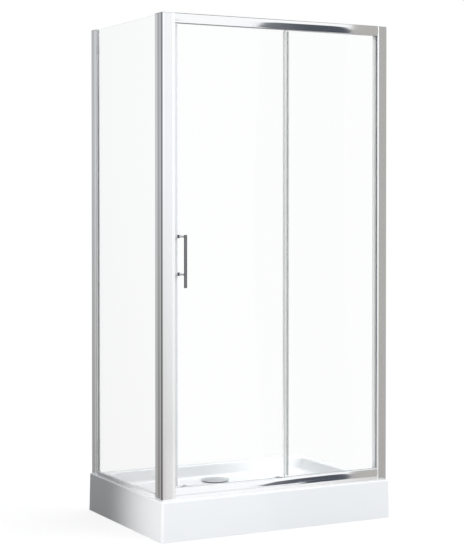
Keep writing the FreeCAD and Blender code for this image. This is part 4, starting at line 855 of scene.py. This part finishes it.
# what polished pieces see, in degrees: heights from level upwards, sides from the front towards
# the right, and lanes that lie square to the rails, from the middle towards the right
mirrorSizes = {
    "heights": (
        (-90, (0.14, 0.14, 0.15)),
        (-54, (0.18, 0.18, 0.19)),
        (-48, (0.60, 0.58, 0.57)),
        (-30, (0.62, 0.60, 0.59)),
        (-10.5, (0.67, 0.65, 0.64)),
        (-7.4, (0.74, 0.735, 0.73)),
        (-3.6, (0.84, 0.84, 0.84)),
        (2, (0.99, 1.0, 1.02)),
        (30, (1.0, 1.02, 1.06)),
        (77, (1.0, 1.02, 1.06)),
        (86, (0.58, 0.59, 0.61)),
    ),
    "sides": (
        (-180, 0.34), (-159, 0.42), (-154.5, 0.70), (-146, 0.70), (-138, 0.16), (-108, 0.16),
        (-88, 0.50), (-62, 0.60), (-48, 1.15), (-12, 1.15), (0, 1.0), (70, 1.0), (150, 0.75),
        (180, 0.34),
    ),
    "sideMost": 1.3,
    "screens": (
        {"from": (25.0, 25.2), "to": (32.08, 32.2), "color": (1.08, 1.085, 1.09), "shift": 0.42},
        {"from": (32.08, 32.2), "to": (62, 80), "color": (0.50, 0.485, 0.465), "shift": 0.0},
    ),
    "screenFoot": (-54, -46),  # what faces the floor stays dark
    "notch": ((-10.2, -8.8), (6.5, 4.0)),  # at these heights the first screen starts later
    "cardColor": (0.085, 0.095, 0.115),
    "cardPale": (0.20, 0.21, 0.23),
    "cardFade": 2.2,  # the lanes over which the card goes from pale to dark
    "cardBlur": 1.5,
    "cardFoot": (-17.5, -14.5),
    "cardSlope": 6.0,  # how much lower its foot lies per lane
    "cardTop": (
        (28.5, -20), (28.75, 12), (29.2, 17), (30.4, 18), (31.5, 18), (31.9, 14), (32.1, -2),
    ),
    "cardMost": 40,
}


def curveNode(tree, source, points, bottom, top):
    # straight lines through the points, whose values lie between bottom and top
    low, high = points[0][0], points[-1][0]
    curve = tree.nodes.new("ShaderNodeFloatCurve")
    line = curve.mapping.curves[0]
    places = [((x - low) / (high - low), (y - bottom) / (top - bottom)) for x, y in points]
    line.points[0].location = places[0]
    line.points[1].location = places[-1]
    for place in places[1:-1]:
        line.points.new(*place)
    for point in line.points:
        point.handle_type = "VECTOR"
    curve.mapping.update()
    tree.links.new(rangeNode(tree, source, (low, high)), curve.inputs["Value"])
    return rangeNode(tree, curve.outputs["Value"], (0.0, 1.0), (bottom, top))


def product(tree, *factors):
    whole = factors[0]
    for factor in factors[1:]:
        whole = mathNode(tree, "MULTIPLY", whole, factor)
    return whole


def rayIs(tree, *names):
    # 1 for the named kinds of ray, else 0
    rays = tree.nodes.new("ShaderNodeLightPath")
    value = rays.outputs[names[0]]
    for name in names[1:]:
        value = mathNode(tree, "MAXIMUM", value, rays.outputs[name])
    return value


def shaderMix(tree, share, first, second):
    mix = tree.nodes.new("ShaderNodeMixShader")
    for socket, value in zip(mix.inputs, (share, first, second)):
        tree.links.new(value, socket)
    return mix.outputs["Shader"]


def backgroundNode(tree, color, strength=1.0):
    node = tree.nodes.new("ShaderNodeBackground")
    feed(tree, node.inputs["Color"], color)
    feed(tree, node.inputs["Strength"], strength)
    return node.outputs["Background"]


def addFloor(s):
    # plain paper near the object, which gives way to the white backdrop further off
    half = s["floorHalf"]
    mesh = bpy.data.meshes.new("floorMesh")
    corners = [(-half, -half, 0), (half, -half, 0), (half, half, 0), (-half, half, 0)]
    mesh.from_pydata(corners, [], [(0, 1, 2, 3)])
    floor = bpy.data.objects.new("floor", mesh)
    scene.collection.objects.link(floor)
    material, tree, shader = startMaterial("floorPaper")
    seen = rayIs(tree, "Is Camera Ray", "Is Transmission Ray")
    feed(tree, shader.inputs["Base Color"], colorMix(tree, seen, s["floorBounce"], s["floorColor"]))
    shader.inputs["Roughness"].default_value = s["floorRoughness"]
    glow = tree.nodes.new("ShaderNodeEmission").outputs["Emission"]
    share = mathNode(tree, "MULTIPLY", seen, s["floorGlow"])
    lit = shaderMix(tree, share, shader.outputs["BSDF"], glow)
    reach = tree.nodes.new("ShaderNodeVectorMath")
    reach.operation = "LENGTH"
    tree.links.new(tree.nodes.new("ShaderNodeTexCoord").outputs["Object"], reach.inputs[0])
    fade = rangeNode(tree, reach.outputs["Value"], s["floorFade"], smooth=True)
    gone = mathNode(tree, "MAXIMUM", fade, rayIs(tree, "Is Glossy Ray"))
    clear = tree.nodes.new("ShaderNodeBsdfTransparent").outputs["BSDF"]
    whole = shaderMix(tree, gone, lit, clear)
    tree.links.new(whole, tree.nodes["Material Output"].inputs["Surface"])
    mesh.materials.append(material)


def addLamp(name, s):
    if "cone" in s:
        lamp = bpy.data.lights.new(name, "SPOT")
        lamp.shadow_soft_size = s["size"]
        lamp.spot_size = math.radians(s["cone"])
        lamp.spot_blend = 1.0
    else:
        lamp = bpy.data.lights.new(name, "AREA")
        lamp.shape = "SQUARE"
        lamp.size = s["size"]
    lamp.energy = s["power"]
    holder = bpy.data.objects.new(name, lamp)
    holder.location = s["place"]
    aim = Vector(s["aim"]) - Vector(s["place"])
    holder.rotation_euler = aim.to_track_quat("-Z", "Y").to_euler()
    holder.visible_glossy = False
    holder.visible_transmission = False
    scene.collection.objects.link(holder)


def heightColors(tree, height, stops):
    ramp = tree.nodes.new("ShaderNodeValToRGB")
    marks = ramp.color_ramp.elements
    while len(marks) < len(stops):
        marks.new(0.5)
    for mark, (level, color) in zip(marks, stops):
        mark.position = (level + 90) / 180
        mark.color = (*color, 1)
    tree.links.new(rangeNode(tree, height, (-90, 90)), ramp.inputs["Fac"])
    return ramp.outputs["Color"]


def addScreens(tree, color, height, lane, ahead, m):
    # upright screens in front, whose edges are planes through X
    above, below = (rangeNode(tree, height, ends, smooth=True) for ends in m["notch"])
    notch = product(tree, above, below)
    foot = rangeNode(tree, height, m["screenFoot"], smooth=True)
    for screen in m["screens"]:
        late = mathNode(tree, "MULTIPLY", notch, screen["shift"])
        starts = mathNode(tree, "SUBTRACT", lane, late)
        inside = product(
            tree,
            rangeNode(tree, starts, screen["from"], smooth=True),
            rangeNode(tree, lane, screen["to"][::-1], smooth=True),
            ahead,
            foot,
        )
        color = colorMix(tree, inside, color, screen["color"])
    return color


def addCard(tree, color, height, lane, ahead, m):
    # a dark card in front of the first screen, with a curved top and a sloping foot
    first, last = m["cardTop"][0][0], m["cardTop"][-1][0]
    top = curveNode(tree, lane, m["cardTop"], -m["cardMost"], m["cardMost"])
    past = mathNode(tree, "SUBTRACT", lane, first)
    foot = mathNode(tree, "ADD", height, mathNode(tree, "MULTIPLY", past, m["cardSlope"]))
    over = mathNode(tree, "SUBTRACT", height, top)
    within = product(
        tree,
        rangeNode(tree, over, (m["cardBlur"], -m["cardBlur"]), smooth=True),
        rangeNode(tree, foot, m["cardFoot"], smooth=True),
        mathNode(tree, "GREATER_THAN", lane, first),
        mathNode(tree, "LESS_THAN", lane, last),
        ahead,
    )
    dark = rangeNode(tree, lane, (first, first + m["cardFade"]), smooth=True)
    return colorMix(tree, within, color, colorMix(tree, dark, m["cardPale"], m["cardColor"]))


def addWorld(s, m):
    # white for the camera and through the glass, soft light for plain surfaces, screens for polish
    world = bpy.data.worlds.new("studioWorld")
    scene.world = world
    world.use_nodes = True
    tree = world.node_tree
    tree.nodes.clear()
    split = tree.nodes.new("ShaderNodeSeparateXYZ")
    tree.links.new(tree.nodes.new("ShaderNodeTexCoord").outputs["Generated"], split.inputs[0])
    x, y, z = split.outputs
    front = mathNode(tree, "MULTIPLY", y, -1.0)
    angles = (
        mathNode(tree, "ARCTAN2", x, front),
        mathNode(tree, "ARCSINE", z),
        mathNode(tree, "ARCSINE", x),
    )
    side, height, lane = (mathNode(tree, "DEGREES", angle) for angle in angles)
    ahead = mathNode(tree, "LESS_THAN", y, 0.0)
    glow = tree.nodes.new("ShaderNodeVectorMath")
    glow.operation = "SCALE"
    tree.links.new(heightColors(tree, height, m["heights"]), glow.inputs[0])
    tree.links.new(curveNode(tree, side, m["sides"], 0, m["sideMost"]), glow.inputs["Scale"])
    color = addScreens(tree, glow.outputs["Vector"], height, lane, ahead, m)
    mirror = backgroundNode(tree, addCard(tree, color, height, lane, ahead, m))

    lean = mathNode(tree, "ADD", x, mathNode(tree, "MULTIPLY", front, s["ambientFront"]))
    lean = mathNode(tree, "MULTIPLY", lean, s["ambientLean"] / s["ambient"][0])
    soft = backgroundNode(tree, s["ambient"], mathNode(tree, "ADD", lean, 1.0))
    white = backgroundNode(tree, (1.0, 1.0, 1.0))
    glossy = shaderMix(tree, rayIs(tree, "Is Glossy Ray"), soft, mirror)
    seen = shaderMix(tree, rayIs(tree, "Is Camera Ray", "Is Transmission Ray"), glossy, white)
    out = tree.nodes.new("ShaderNodeOutputWorld")
    tree.links.new(seen, out.inputs["Surface"])


addFloor(studioSizes)
for name in ("key", "top", "corner"):
    addLamp(name + "Lamp", studioSizes[name])
addWorld(studioSizes, mirrorSizes)
scene.view_settings.view_transform = "Standard"
print("studio lit")
